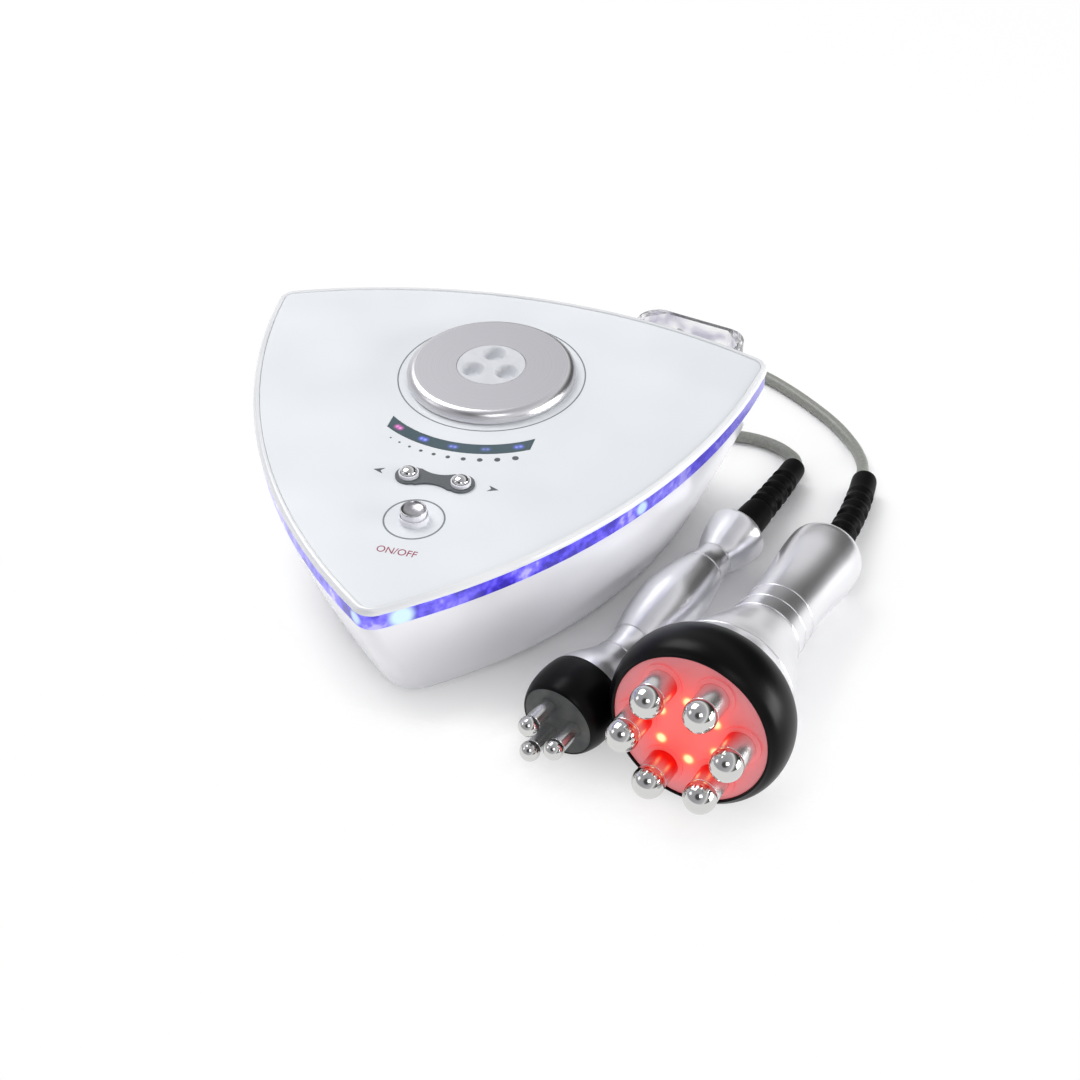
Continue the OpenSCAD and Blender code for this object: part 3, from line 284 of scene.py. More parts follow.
big_run = [(41, 186, 8.2), (51, 187.2, 9.2), (61, 187, 8.8), (71, 185.4, 6), (82, 182.2, 3.6),
           (95, 177, 3.1), (110, 169.4, 3.1), (124, 160.2, 3.1), (138.5, 148.6, 3.1), (151, 136.8, 3.1),
           (160.5, 124.5, 3.4), (167, 111.5, 4.8), (170.4, 99.5, 6.6), (171.3, 89, 7.7)]
small_route = small_lead + coil((-96, 150), 1, 36.7, 270) + small_run
big_route = big_lead + coil((41, 152), -1, 189.1, 270) + big_run
print("route points", len(small_route), len(big_route))

# %% [markdown]
# A curve with a round bevel gives the tube. It becomes a mesh, because the stretch between the coil
# and the handpiece has to bend when the handpiece is lifted, and only a mesh can do that. The middle
# line is read from the same Bezier segments.

# %% Lay both cables


def only(thing):
    """Selects one object and nothing else."""
    bpy.ops.object.select_all(action="DESELECT")
    thing.select_set(True)
    bpy.context.view_layer.objects.active = thing


def dress(thing, *materials):
    """Gives an object these materials in this order."""
    thing.data.materials.clear()
    for material in materials:
        thing.data.materials.append(material)


def curve_through(name, points, steps=5):
    """A smooth open Bezier curve through points in metres, and the points along its middle."""
    line = bpy.data.curves.new(name, "CURVE")
    line.dimensions, line.resolution_u = "3D", steps
    spline = line.splines.new("BEZIER")
    spline.bezier_points.add(len(points) - 1)
    for knot, point in zip(spline.bezier_points, points):
        knot.co = point
        knot.handle_left_type = knot.handle_right_type = "AUTO"
    made = linked(name, line)
    bpy.context.view_layer.update()
    knots = list(spline.bezier_points)
    middle = [knots[0].co.copy()]
    for a, b in zip(knots, knots[1:]):
        middle += interpolate_bezier(a.co, a.handle_right, b.handle_left, b.co, steps + 1)[1:]
    return made, middle


def cable(name, route, replaced):
    """One cable as a mesh tube."""
    tube, middle = curve_through(name, [spot(*p) for p in route])
    tube.data.bevel_depth, tube.data.bevel_resolution, tube.data.use_fill_caps = CABLE_R, 6, True
    only(tube)
    bpy.ops.object.convert(target="MESH")
    tube = bpy.context.object
    bpy.ops.object.shade_smooth_by_angle(angle=math.radians(40))
    dress(tube, cable_pvc)
    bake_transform(tube)
    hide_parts(*replaced)


cable("small_cord", small_route,
      replaced=["small_cable", "small_cable_coil"])
cable("large_cord", big_route,
      replaced=["big_cable", "big_cable_coil"])

# %% [markdown]
# Three moulded whites make up the base unit. The housing is ABS from a polished mould: nearly white,
# with a clear gloss. Real mouldings are never quite flat, so a very shallow, wide bump lets the
# reflections waver a little. A faint tone change keeps large faces from looking painted by numbers.

# %% Gloss white ABS
gloss_abs = grained("gloss_white_abs", "#EDEDF1", 0.2, 0.0, 38, 0.08,
                    [(0.35, "#EAEAEF"), (0.7, "#F0F0F3")], detail=1.0, specular_ior_level=0.5,
                    coat_weight=0.5, coat_roughness=0.06)
lid_abs = grained("lid_border_abs", "#E4E6E8", 0.22, 0.0, 30, 0.05,
                  [(0.35, "#E1E3E5"), (0.7, "#E9EAEB")], detail=1.0, coat_weight=0.6,
                  coat_roughness=0.08)
print("made", gloss_abs.name, lid_abs.name)

# %% [markdown]
# The lid's panel is an acrylic sheet, printed cool white on its back and polished in front. The
# depth of the sheet shows as a soft clear coat over a matter ground. Its print has a barely visible
# mottle, a few centimetres wide.

# %% Back-printed acrylic
acrylic = grained("back_printed_acrylic", "#E6E9EC", 0.34, 0.0, 45, 0.03,
                  [(0.3, "#E2E6E9"), (0.72, "#E9ECEF")], detail=1.0, coat_weight=0.35,
                  coat_roughness=0.12)
print("made", acrylic.name)

# %% [markdown]
# The rim between housing and lid is a tinted polycarbonate light guide with a strip of LEDs behind
# it. Lit, it is blue-violet with darker stretches between the lamps, and where a lamp faces out it
# burns through as a cyan-white spot. Towards the right rear corner the glow is painted down to a
# greyish lilac, as painted shade under the lid's bead. The light is emission: a noise in the guide's
# own coordinates picks the tone, and each burning spot is a distance from its own place. The other
# lit pieces need such spots too, so a helper lays one spot of light over what is under it.

# %% Lit violet polycarbonate


def spot_of_light(tree, under, code, place, middle, core, reach, most, fall="SMOOTHSTEP"):
    """A colour laid over another round a point: full within core and gone at reach, in millimetres."""
    away = add(tree, "VectorMath", {0: place, 1: middle}, operation="DISTANCE").outputs["Value"]
    near = add(tree, "MapRange", {"Value": away, "From Min": core * MM, "From Max": reach * MM,
                                  "To Min": most, "To Max": 0.0}, interpolation_type=fall)
    return add(tree, "Mix", {SHARE: near, UNDER: under, OVER: linear(code)}, data_type="RGBA").outputs[2]


RING_Z, PATCH_MM, FLECK_MM, FLECK_SHARE = 73.5, 13, 3, 0.34
light_guide, tree, shader = finish("lit_violet_polycarbonate", "#3A3296", 0.16, coat_weight=0.4,
                                   coat_roughness=0.05)
place = add(tree, "TexCoord", {}).outputs["Object"]
patches = add(tree, "TexNoise", {"Vector": place, "Scale": 1000 / PATCH_MM, "Detail": 2.5,
                                 "Roughness": 0.62})
flecks = add(tree, "TexNoise", {"Vector": place, "Scale": 1000 / FLECK_MM, "Detail": 1.0})
mixed = add(tree, "Math", {0: flecks, 1: FLECK_SHARE, 2: patches}, operation="MULTIPLY_ADD")
tone = add(tree, "ValToRGB", {"Fac": mixed}, stops=[
    (0.53, "#1D1578"), (0.86, "#C0BAF6"), (0.6, "#3C30BC"), (0.7, "#6458E0"), (0.78, "#857CF0")])
along = add(tree, "SeparateXYZ", {0: place})
# Painted shade: towards the right rear corner the glow is mixed into a dull greyish lilac.
painted_rear_shade = add(tree, "MapRange", {"Value": along.outputs["X"], "From Min": spot(72, 0).x,
                                 "From Max": spot(118, 0).x, "To Min": 0.0, "To Max": 0.85})
glow = add(tree, "Mix", {SHARE: painted_rear_shade, UNDER: tone, OVER: linear("#4A4678")},
           data_type="RGBA").outputs[2]
lamp_spots = [((12.6, -132.5), 7.5, 1.0), ((-5.6, -137.8), 4.5, 0.7), ((88.4, -41.4), 4.5, 0.85),
              ((-92, -40), 5, 0.7), ((-20, 98), 5, 0.7), ((-112, 62), 5, 0.8), ((112, 74), 4, 0.5)]
for (x, y), reach, most in lamp_spots:
    glow = spot_of_light(tree, glow, "#D8FBFF", place, spot(x, y, RING_Z), reach * 0.35, reach, most,
                         fall="SMOOTHERSTEP")
feed(shader, "Emission Color", glow)
feed(shader, "Emission Strength", 0.92)
print("made", light_guide.name, "with", len(lamp_spots), "burning spots")

# %% [markdown]
# The metals outside differ most in how finely they are finished. The disc is aluminium, turned on a
# lathe, so that its top carries fine circular lines that stretch highlights, while its edge is
# buffed. The keys are chromium plate, a cool mirror, and the studs' balls are plated too, but a
# little softer. The pins under them keep a satin turned surface. The handles are sprayed with satin
# silver lacquer, whose flakes blur what they reflect. The lines and the flakes are drawn coarser
# than real ones, so that they show.

# %% Turned aluminium, chrome and silver lacquer
DISC, DISC_TOP, LINE_MM = (0, 27.75), 86, 0.5
turned_aluminium, tree, shader = finish("turned_aluminium", "#BBBABE", 0.58, 0.7)
place = add(tree, "TexCoord", {}).outputs["Object"]
away = add(tree, "VectorMath", {0: place, 1: spot(*DISC, DISC_TOP)}, operation="DISTANCE")
lines = add(tree, "TexNoise", {"W": away.outputs["Value"], "Scale": 1000 / LINE_MM, "Detail": 1.0},
            noise_dimensions="1D")
bump = add(tree, "Bump", {"Height": lines, "Distance": 0.002 * MM, "Strength": 0.4})
feed(shader, "Normal", bump)
tone = add(tree, "ValToRGB", {"Fac": lines}, stops=[(0.3, "#B8B7BB"), (0.7, "#BEBDC1")])
feed(shader, "Base Color", tone)

polished_aluminium = grained("polished_aluminium", "#DEDDE0", 0.3, 1.0, 2.5, 0.004)
chrome = grained("chromium_plate", "#DCDCDD", 0.06, 1.0, 3.0, 0.003)
ball_chrome = grained("chromed_ball", "#D4D4D2", 0.12, 1.0, 3.0, 0.002)
satin_pin = grained("satin_turned_pin", "#D2D2D2", 0.24, 0.95, 0.5, 0.001)
silver_lacquer = grained("satin_silver_lacquer", "#EDEDF0", 0.28, 0.96, 0.3, 0.0006,
                         coat_weight=0.15, coat_roughness=0.15)
print("made", turned_aluminium.name, polished_aluminium.name, chrome.name, silver_lacquer.name)

# %% [markdown]
# The heads are black ABS with a fine spark-eroded texture, which is drawn a little coarser than it
# is, so that it shows. The strain reliefs are softer black PVC, which is duller. The small face is
# dark grey rubberised plastic with an uneven tone.

# %% Black ABS, black PVC and grey face
black_abs = grained("satin_black_abs", "#030304", 0.33, 0.0, 0.8, 0.01, detail=3.0,
                    specular_ior_level=0.13)
black_pvc = grained("soft_black_pvc", "#050506", 0.5, 0.0, 1.4, 0.02,
                    [(0.35, "#020203"), (0.75, "#060607")], detail=3.0, specular_ior_level=0.08)
grey_face = grained("rubberised_grey", "#4C5051", 0.5, 0.0, 9.0, 0.02,
                    [(0.35, "#3C4142"), (0.7, "#5C5D5A")], detail=3.0)
print("made", black_abs.name, black_pvc.name, grey_face.name)

# %% [markdown]
# The large face is a translucent disc with six LEDs on a board behind it, one between each pair of
# studs. It is salmon in the light that leaks through, and each lamp shows as a small yellow-white
# core in an orange halo. Towards the rim the face turns greyer and its glow dimmer: the lamps' light
# falls off there, and the grey of the rim is painted shade. Round each stud the glow is painted a
# deeper red, as painted shade of the stud. All of it depends on the distance from the head's axis or
# from a lamp, so the shader first turns the coordinates into the handpiece's own, with a Mapping node
# of the Texture kind, which undoes the handpiece's place. The pins of the studs stand in that light,
# and their inner sides near the face are painted red, as a painted reflection of the lit face.

# %% Lit translucent face
LAMP_CIRCLE, STUD_CIRCLE, STUD_TURN = 13.6, 22.2, 97
CLOUD_MM, CLOUD_SHIFT, FADE_FROM, FADE_TO = 9, 7, 3.5, 36.5


def on_large_head(tree):
    """Coordinates in the large handpiece's own frame, the same laid flat on its face, and the
    distance from its axis."""
    place = add(tree, "TexCoord", {}).outputs["Object"]
    local = add(tree, "Mapping", {"Vector": place, "Location": BIG_HAND.translation,
                                  "Rotation": BIG_HAND.to_euler("XYZ")}, vector_type="TEXTURE").outputs[0]
    flat = add(tree, "VectorMath", {0: local, 1: (1, 1, 0)}, operation="MULTIPLY").outputs[0]
    from_axis = add(tree, "VectorMath", {0: flat}, operation="LENGTH").outputs["Value"]
    return place, local, flat, from_axis


lit_face, tree, shader = finish("lit_translucent_face", "#C4787A", 0.42, coat_weight=0.15,
                                coat_roughness=0.3)
place, _, flat, from_axis = on_large_head(tree)
cloud = add(tree, "TexNoise", {"Vector": place, "Scale": 1000 / CLOUD_MM, "Detail": 2.0})
uneven = add(tree, "Math", {0: cloud, 1: CLOUD_SHIFT * MM, 2: from_axis}, operation="MULTIPLY_ADD")
# Painted shade: the base colour goes greyer towards the rim, while the glow falls off there.
share = add(tree, "MapRange", {"Value": uneven, "From Min": FADE_FROM * MM, "From Max": FADE_TO * MM})
tone_with_painted_rim_shade = add(tree, "ValToRGB", {"Fac": share},
                stops=[(0.0, "#D47A74"), (1.0, "#C68E94"), (0.5, "#D07E7E")])
feed(shader, "Base Color", tone_with_painted_rim_shade)
lit_tone = add(tree, "ValToRGB", {"Fac": share},
               stops=[(0.0, "#D8362C"), (1.0, "#862422"), (0.45, "#CC302A")])
glow = lit_tone.outputs[0]
# Painted shade: round each stud the glow turns a deeper, more saturated red.
for k in range(6):
    stud = Vector((*polar(STUD_CIRCLE, STUD_TURN + 60 * k), 0)) * MM
    glow = spot_of_light(tree, glow, "#DC281E", flat, stud, core=6, reach=11, most=0.2)
for k in range(6):
    lamp = Vector((*polar(LAMP_CIRCLE, STUD_TURN + 30 + 60 * k), 0)) * MM
    for reach, code, most in ((6.0, "#F0421E", 0.5), (3.4, "#FF9A24", 1.0), (2.6, "#FFF6B0", 1.0)):
        glow = spot_of_light(tree, glow, code, flat, lamp, reach * 0.4, reach, most)
feed(shader, "Emission Color", glow)
feed(shader, "Emission Strength", 1.0)

lit_pin = grained("satin_turned_pin_with_painted_red_light", "#E2E2E2", 0.26, 0.95, 0.5, 0.001)
tree = lit_pin.node_tree
_, local, _, from_axis = on_large_head(tree)
height = add(tree, "SeparateXYZ", {0: local})
# Painted reflection: the pins' inner sides near the face are tinted red, standing in for the lit face.
inner, low = [add(tree, "MapRange", {"Value": value, "From Min": first * MM, "From Max": last * MM,
                                     "To Min": 1.0, "To Max": 0.0}, interpolation_type="SMOOTHSTEP")
              for value, first, last in ((from_axis, 19, 27), (height.outputs["Z"], 3.5, 12))]
painted_red_reflection = add(tree, "Math", {0: inner, 1: low}, operation="MULTIPLY")
tone = add(tree, "Mix", {SHARE: painted_red_reflection, UNDER: linear("#E2E2E2"), OVER: linear("#F0382C")},
           data_type="RGBA")
feed(tree.nodes["Principled BSDF"], "Base Color", tone.outputs[2])
print("made", lit_face.name, lit_pin.name)

# %% [markdown]
# The level window is smoked acrylic over five LEDs. Each lit lamp shows as a small two-lobed spot
# with a soft halo, pink at the lowest level and blue-violet at the others.

# %% Smoked acrylic window with its lamps
LEVEL_R, LEVEL_STEP, LEVEL_Z, HAZE_MM = 56.95, 14.7, 80, 14
LOBE_TURN = math.degrees(0.9 / LEVEL_R)
smoked, tree, shader = finish("smoked_acrylic", "#3F545C", 0.18, coat_weight=0.5, coat_roughness=0.05)
place = add(tree, "TexCoord", {}).outputs["Object"]
haze = add(tree, "TexNoise", {"Vector": place, "Scale": 1000 / HAZE_MM, "Detail": 2.0})
tone = add(tree, "ValToRGB", {"Fac": haze}, stops=[(0.3, "#3B5058"), (0.75, "#465C64")])
feed(shader, "Base Color", tone)
lamp_tones = [("#FF8AE6", "#C04A9C", 1.0), ("#9A9CFF", "#5458D8", 1.0), ("#8F93F0", "#4A52B8", 0.75),
              ("#7D83D8", "#48509C", 0.6), ("#8C90FF", "#4E54C0", 0.85)]
glow = linear("#000000")
for k, (core_code, halo_code, most) in enumerate(lamp_tones):
    for side in (-1, 1):
        lobe = spot(*polar(LEVEL_R, (k - 2) * LEVEL_STEP - 90 + side * LOBE_TURN, DISC), LEVEL_Z)
        for reach, code in ((2.3, halo_code), (1.1, core_code)):
            glow = spot_of_light(tree, glow, code, place, lobe, 0.2 * reach, reach, most)
feed(shader, "Emission Color", glow)
feed(shader, "Emission Strength", 1.0)
print("made", smoked.name)

# %% [markdown]
# The holder is injection-moulded polystyrene, water clear. Clear plastic is drawn by its edges: they
# go grey and faintly lilac where light has to travel through the wall. The walls are uneven as well,
# so the shader gets a soft relief, and a tint that deepens where the relief is low.

# %% Clear polystyrene
clear_ps = grained("clear_polystyrene", "#F1F0F8", 0.04, 0.0, 7, 0.4,
                   [(0.36, "#C6C3D2"), (0.62, "#FFFFFF"), (0.48, "#ECEBF3")], detail=0.0,
                   transmission_weight=0.93, ior=1.5)
print("made", clear_ps.name)

# %% [markdown]
# The rest are workaday finishes: printed ink, soft grey foil under the keys, zinc-plated screws,
# nickel sockets, black nylon, a green solder mask and the materials of the parts inside. Each gets a
# small grain of its own, because a single flat colour never looks finished. The table gives the
# material slot that a finish is for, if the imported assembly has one, and then the colour, roughness,
# metalness, grain size and depth in millimetres, and the grain's second tone.

# %% Workaday finishes
workaday, slot_finish = {}, {}
for name, slot, code, roughness, metal, size, depth, second in (
        ("white_collar_abs", "bezel", "#E6E6EC", 0.16, 0.0, 6, 0.01, "#EEEEF3"),
        ("foot_rubber", "foot_rubber", "#3B3C3E", 0.75, 0.0, 1.0, 0.05, "#46474A"),
        ("zinc_plated_steel", "steel_screw", "#B4B6B8", 0.3, 1.0, 0.8, 0.01, "#C2C4C6"),
        ("nickel_plate", "plated_pin", "#C8C4BC", 0.2, 1.0, 1.5, 0.005, "#D2CEC7"),
        ("black_nylon", "black_plastic", "#17181A", 0.45, 0.0, 0.7, 0.02, "#1E1F21"),
        ("grey_key_foil", "key_plate", "#54595C", 0.5, 0.0, 0.6, 0.02, "#5E6366"),
        ("dark_ink", None, "#4C5256", 0.6, 0.0, 1.0, 0.001, "#5E6468"),
        ("grey_ink", None, "#767B80", 0.6, 0.0, 1.0, 0.001, "#848A8E"),
        ("red_ink", None, "#93304A", 0.6, 0.0, 1.0, 0.001, "#A54864"),
        ("pale_insert", "dock_insert", "#D0D2D6", 0.42, 0.0, 5, 0.01, "#D7D9DD"),
        ("satin_chrome", None, "#A4A4A7", 0.28, 1.0, 1.0, 0.001, "#B0B0B3"),
        ("solder_mask_green", "circuit_board", "#1F5E3A", 0.4, 0.0, 3.0, 0.02, "#276A44"),
        ("lamp_epoxy", "indicator_led", "#DFE3F4", 0.2, 0.0, 1.5, 0.001, "#EAEDFA"),
        ("lamp_strip", "led_strip", "#E9E6D8", 0.5, 0.0, 3.0, 0.01, "#F2F0E4"),
        ("silicon_steel", "core_steel", "#6A6F74", 0.45, 0.8, 0.5, 0.03, "#7B8085"),
        ("enamelled_copper", "copper_winding", "#A65A24", 0.3, 0.85, 0.6, 0.05, "#BC6E34"),
        ("extruded_aluminium", "heatsink_aluminium", "#B9BBBE", 0.38, 1.0, 1.0, 0.02, "#C6C8CB"),
        ("blue_sleeve", "capacitor_sleeve", "#1E2A4E", 0.35, 0.0, 2.0, 0.01, "#26335C"),
        ("grey_wire_pvc", "wire_insulation", "#B8B8BA", 0.5, 0.0, 2.0, 0.02, "#C4C4C6"),
        ("tie_nylon", "tie_black", "#1A1A1C", 0.55, 0.0, 1.2, 0.04, "#242426")):
    workaday[name] = grained(name, code, roughness, metal, size, depth, [(0.35, code), (0.7, second)])
    if slot:
        slot_finish[slot] = workaday[name]
print("made", len(workaday), "workaday finishes")

# %% [markdown]
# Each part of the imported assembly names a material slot. The finishes that were made one by one get
# their slots here, next to the workaday ones, and then every node is dressed by its slot.

# %% Dress every node
slot_finish |= {
    "housing_white": gloss_abs, "panel_white": acrylic, "light_diffuser": light_guide,
    "satin_disc": turned_aluminium, "dark_window": smoked, "chrome": chrome, "clear_holder": clear_ps,
    "handle_silver": silver_lacquer, "head_black": black_abs, "relief_black": black_pvc,
    "face_grey": grey_face, "lit_face": lit_face, "cable_grey": cable_pvc}
for name, thing in nodes.items():
    for socket in thing.material_slots:
        socket.material = slot_finish[slot_of[name]]
print("dressed", len(nodes), "nodes")

# %% [markdown]
# A imported node is a set of loose triangles, and where the drawing approximates a curve with flat
# strips, those strips would catch the light. For the curved parts that show, a copy is merged by
# distance and shaded smooth up to a chosen edge angle. The copy then stands for its node, and its
# shape stays exactly the drawing's. Four helpers are needed again below: two open and close a mesh
# for editing, one extrudes what is selected in it, and one puts a piece on a node's body in the
# node's place.

# %% Smooth copies of the curved parts
MERGE = 0.002 * MM


def open_mesh(thing):
    """Edit mode on one object, with its whole mesh selected."""
    only(thing)
    bpy.ops.object.mode_set(mode="EDIT")
    bpy.ops.mesh.select_all(action="SELECT")


def extrude_up(height):
    """Extrudes what is selected, straight up by a height in millimetres."""
    bpy.ops.mesh.extrude_region_move(TRANSFORM_OT_translate={"value": (0, 0, height * MM)})


def close_mesh(outwards=True):
    """Turns all faces outwards if asked, and leaves edit mode."""
    if outwards:
        bpy.ops.mesh.select_all(action="SELECT")
        bpy.ops.mesh.normals_make_consistent(inside=False)
    bpy.ops.object.mode_set(mode="OBJECT")


def stand_for(thing, node):
    """The piece rides on a node's body and takes the node's place."""
    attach(thing, body_of[node])
    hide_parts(node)


smoothed = (("lower_housing", 30), ("top_cover", 40), ("light_ring", 30), ("button_bezels", 35),
            ("small_tail_shell", 28), ("small_grip", 28), ("small_cone", 28), ("small_head", 40),
            ("big_grip", 28), ("big_flare", 28), ("big_head_ring", 40), ("big_face", 20),
            ("handpiece_holder", 30))
for node, angle in smoothed:
    skin = linked(node + "_skin", nodes[node].data.copy())
    only(skin)
    bpy.ops.mesh.customdata_custom_splitnormals_clear()
    open_mesh(skin)
    bpy.ops.mesh.remove_doubles(threshold=MERGE)
    close_mesh(outwards=False)
    bpy.ops.object.shade_smooth_by_angle(angle=math.radians(angle))
    dress(skin, lid_abs if node == "top_cover" else slot_finish[slot_of[node]])
    stand_for(skin, node)
print("smoothed", len(smoothed), "parts")

# %% [markdown]
# The metal fittings are lathe work, and a mirror finish shows every flat of a coarse mesh. So they
# are turned here as on a real lathe: half a section is drawn as a line of points, radius and height,
# and spun round the axis in fine steps. One helper does it for the disc, the buttons and the studs.
# Others put a piece in its place, join copies into one piece and draw the rounded part of a section.

# %% A small lathe


def turned(name, section, steps=96, angle=32):
    """A turned part about its own z axis from points of radius and height in millimetres."""
    line = bpy.data.meshes.new(name)
    line.from_pydata([(r * MM, 0, z * MM) for r, z in section],
                     [(i, i + 1) for i in range(len(section) - 1)], [])
    made = linked(name, line)
    open_mesh(made)
    bpy.ops.mesh.spin(steps=steps, angle=math.tau, center=(0, 0, 0), axis=(0, 0, 1))
    bpy.ops.mesh.select_all(action="SELECT")
    bpy.ops.mesh.remove_doubles(threshold=MERGE)
    close_mesh()
    bpy.ops.object.shade_smooth_by_angle(angle=math.radians(angle))
    return made


def settle(thing, place):
    """Puts an object in its place and writes the place into its mesh."""
    thing.matrix_world = place
    only(thing)
    bpy.ops.object.transform_apply()


def joined(name, pieces):
    """Several objects as one."""
    bpy.ops.object.select_all(action="DESELECT")
    for piece in pieces:
        piece.select_set(True)
    bpy.context.view_layer.objects.active = pieces[0]
    bpy.ops.object.join()
    made = bpy.context.object
    made.name = name
    return made


def arc(middle, radii, first, last, count):
    """Points of an elliptical arc between two angles in degrees."""
    turns = [math.radians(first + (last - first) * i / count) for i in range(count + 1)]
    return [(middle[0] + radii[0] * math.cos(t), middle[1] + radii[1] * math.sin(t)) for t in turns]


print("arc", [tuple(round(v, 2) for v in p) for p in arc((0, 0), (1, 1), 0, 90, 2)])

# %% [markdown]
# The parking disc has a flat satin top and a full, buffed edge that is widest near the lid and
# rounds over to the top. After spinning, the faces whose normals point straight up keep the satin
# finish, and all others get the buffed finish. That is also how a turner would treat it: brush the
# top, buff the rim.

# %% Parking disc
disc_section = ([(0, 80), (38.2, 80)] + arc((38.2, 81.2), (1.3, 1.2), -90, 0, 8)
                + arc((35.4, 81.2), (4.1, 4.8), 0, 84, 18)
                + [(35.5, DISC_TOP), (35.2, DISC_TOP), (16.15, DISC_TOP), (16.15, 81.4), (0, 81.4)])
disc = turned("parking_disc", disc_section, steps=144, angle=28)
settle(disc, Matrix.Translation(spot(*DISC)))
dress(disc, turned_aluminium, polished_aluminium)
for face in disc.data.polygons:
    face.material_index = 0 if face.normal.z > 0.999 else 1
stand_for(disc, "dock_disc")
print("disc is", [round(v / MM, 1) for v in disc.dimensions], "mm")

# %% [markdown]
# The pale insert in the disc is moulded, with three round pockets for the small handpiece's balls.
# Their lips are soft, so they are shaped by moving points rather than by cutting: a fine grid is
# squeezed into a circle, and each point sinks by a smooth bell of its distance from the nearest
# pocket. Extruding the outline downwards gives the insert its side.

# %% Insert with three soft pockets
INSERT_R, INSERT_TOP, INSERT_DEPTH, EDGE_WIDTH, EDGE_DROP = 16, 86.2, 4, 0.5, 0.4
POCKET_RING, POCKET_R, POCKET_DEPTH, POCKET_WALL, POCKET_TURN = 9.1, 6.2, 4.4, 0.65, 97
bpy.ops.mesh.primitive_grid_add(x_subdivisions=110, y_subdivisions=110, size=2, location=(0, 0, 0))
insert = bpy.context.object
insert.name = "pocket_insert"
pockets = [polar(POCKET_RING, POCKET_TURN + 120 * k) for k in range(3)]
for v in insert.data.vertices:
    a, b = v.co.x, v.co.y
    x, y = INSERT_R * a * math.sqrt(1 - b * b / 2), INSERT_R * b * math.sqrt(1 - a * a / 2)
    near = min(math.dist((x, y), pocket) for pocket in pockets) / POCKET_R
    rim = max(0, math.hypot(x, y) - INSERT_R + EDGE_WIDTH) / EDGE_WIDTH
    sunk = POCKET_DEPTH * ease((1 - near) / POCKET_WALL)
    v.co = Vector((x, y, INSERT_TOP - sunk - EDGE_DROP * (1 - math.sqrt(max(0, 1 - rim * rim))))) * MM
open_mesh(insert)
bpy.ops.mesh.region_to_loop()
extrude_up(-INSERT_DEPTH)
close_mesh(outwards=False)
bpy.ops.object.shade_smooth_by_angle(angle=math.radians(50))
settle(insert, Matrix.Translation(spot(*DISC)))
dress(insert, workaday["pale_insert"])
stand_for(insert, "dock_insert")
print("insert has", len(insert.data.polygons), "faces")

# %% [markdown]
# The power button is a cap with a shallow dish for a fingertip in satin chrome and a white skirt
# below it, and the two intensity keys have low chromed domes. Each has its flange under the lid and
# its stem down to the switch, so nothing is missing when a button is lifted out. The second key is a
# copy of the first with its own mesh.

# %% Buttons
FLANGE_TOP, FLANGE_FOOT = 76.7, 75.4
STEM = [(1.6, FLANGE_FOOT), (1.6, 70.5), (0, 70.5)]
SKIRT_TOP, STEEP = 85.3, 0.7
dish = [(0, 84.5), (1.4, 84.55), (2.8, 84.74), (4.0, 85.08), (4.8, 85.5)]
power_cap = turned("power_cap", dish + arc((5.14, 85.44), (0.36, 0.4), 120, 0, 8)
                   + [(5.5, FLANGE_TOP), (6.7, FLANGE_TOP), (6.7, FLANGE_FOOT)] + STEM, angle=40)
key_cap = turned("down_key_cap", arc((0, 82.6), (3.5, 2.0), 90, 0, 14)
                 + [(3.5, FLANGE_TOP), (4.7, FLANGE_TOP), (4.7, FLANGE_FOOT)] + STEM, angle=40)
other_cap = linked("up_key_cap", key_cap.data.copy())
for cap, (x, y), node, top in ((power_cap, (0, -81), "power_button", workaday["satin_chrome"]),
                               (key_cap, (-11.8, -54), "intensity_down_button", chrome),
                               (other_cap, (11.8, -54), "intensity_up_button", chrome)):
    settle(cap, Matrix.Translation(spot(x, y)))
    dress(cap, top, workaday["white_collar_abs"])
    stand_for(cap, node)
for face in power_cap.data.polygons:
    face.material_index = 1 if face.center.z < SKIRT_TOP * MM and face.normal.z < STEEP else 0
print("caps", power_cap.name, key_cap.name, other_cap.name)

# %% [markdown]
# A stud is a thick satin pin that ends in a slightly wider chromed ball, with a fine turned neck
# between them. It is turned once for each handpiece and copied round its circle, so that there are
# three on the small head and six on the large one. Each copy has its own mesh.

# %% Studs of both handpieces
PIN_FOOT, NECK_FROM, NECK_TO, NECK_DEEP = -3, 0.35, 0.1, 0.15


def studs(name, node, hand, count, first, circle, pin_r, ball_r, ball_z, pin_finish):
    """A circle of ball-tipped studs on a handpiece's face."""
    meet = -math.degrees(math.acos(pin_r / ball_r))
    neck_z = ball_z + ball_r * math.sin(math.radians(meet))
    section = ([(0, PIN_FOOT), (pin_r, PIN_FOOT), (pin_r, neck_z - NECK_FROM),
                (pin_r - NECK_DEEP, neck_z - NECK_TO)] + arc((0, ball_z), (ball_r, ball_r), meet, 90, 36))
    stud = turned(name + "_1", section, angle=30)
    dress(stud, ball_chrome, pin_finish)
    for face in stud.data.polygons:
        face.material_index = 1 if face.center.z < neck_z * MM else 0
    copies = [stud] + [linked(f"{name}_{k + 1}", stud.data.copy()) for k in range(1, count)]
    for k, one in enumerate(copies):
        settle(one, hand @ Matrix.Rotation(math.radians(first + 360 / count * k), 4, "Z")
               @ Matrix.Translation((circle * MM, 0, 0)))
    made = joined(name, copies)
    stand_for(made, node)
    print(name, "has", len(made.data.polygons), "faces")


studs("small_studs", "small_electrodes", SMALL_HAND, 3, 93, 8, pin_r=3.6, ball_r=4.4, ball_z=14.3,
      pin_finish=satin_pin)
studs("large_studs", "big_electrodes", BIG_HAND, 6, STUD_TURN, STUD_CIRCLE, pin_r=6.55, ball_r=6.9,
      ball_z=14, pin_finish=lit_pin)

# %% [markdown]
# Fine bright lines run round both handles, where a lathe has left the lacquered body with bare
# metal. Each is a half-round bead less than half a millimetre high, turned as a closed ring. The
# places are distances behind the face, each with the handle's radius there.

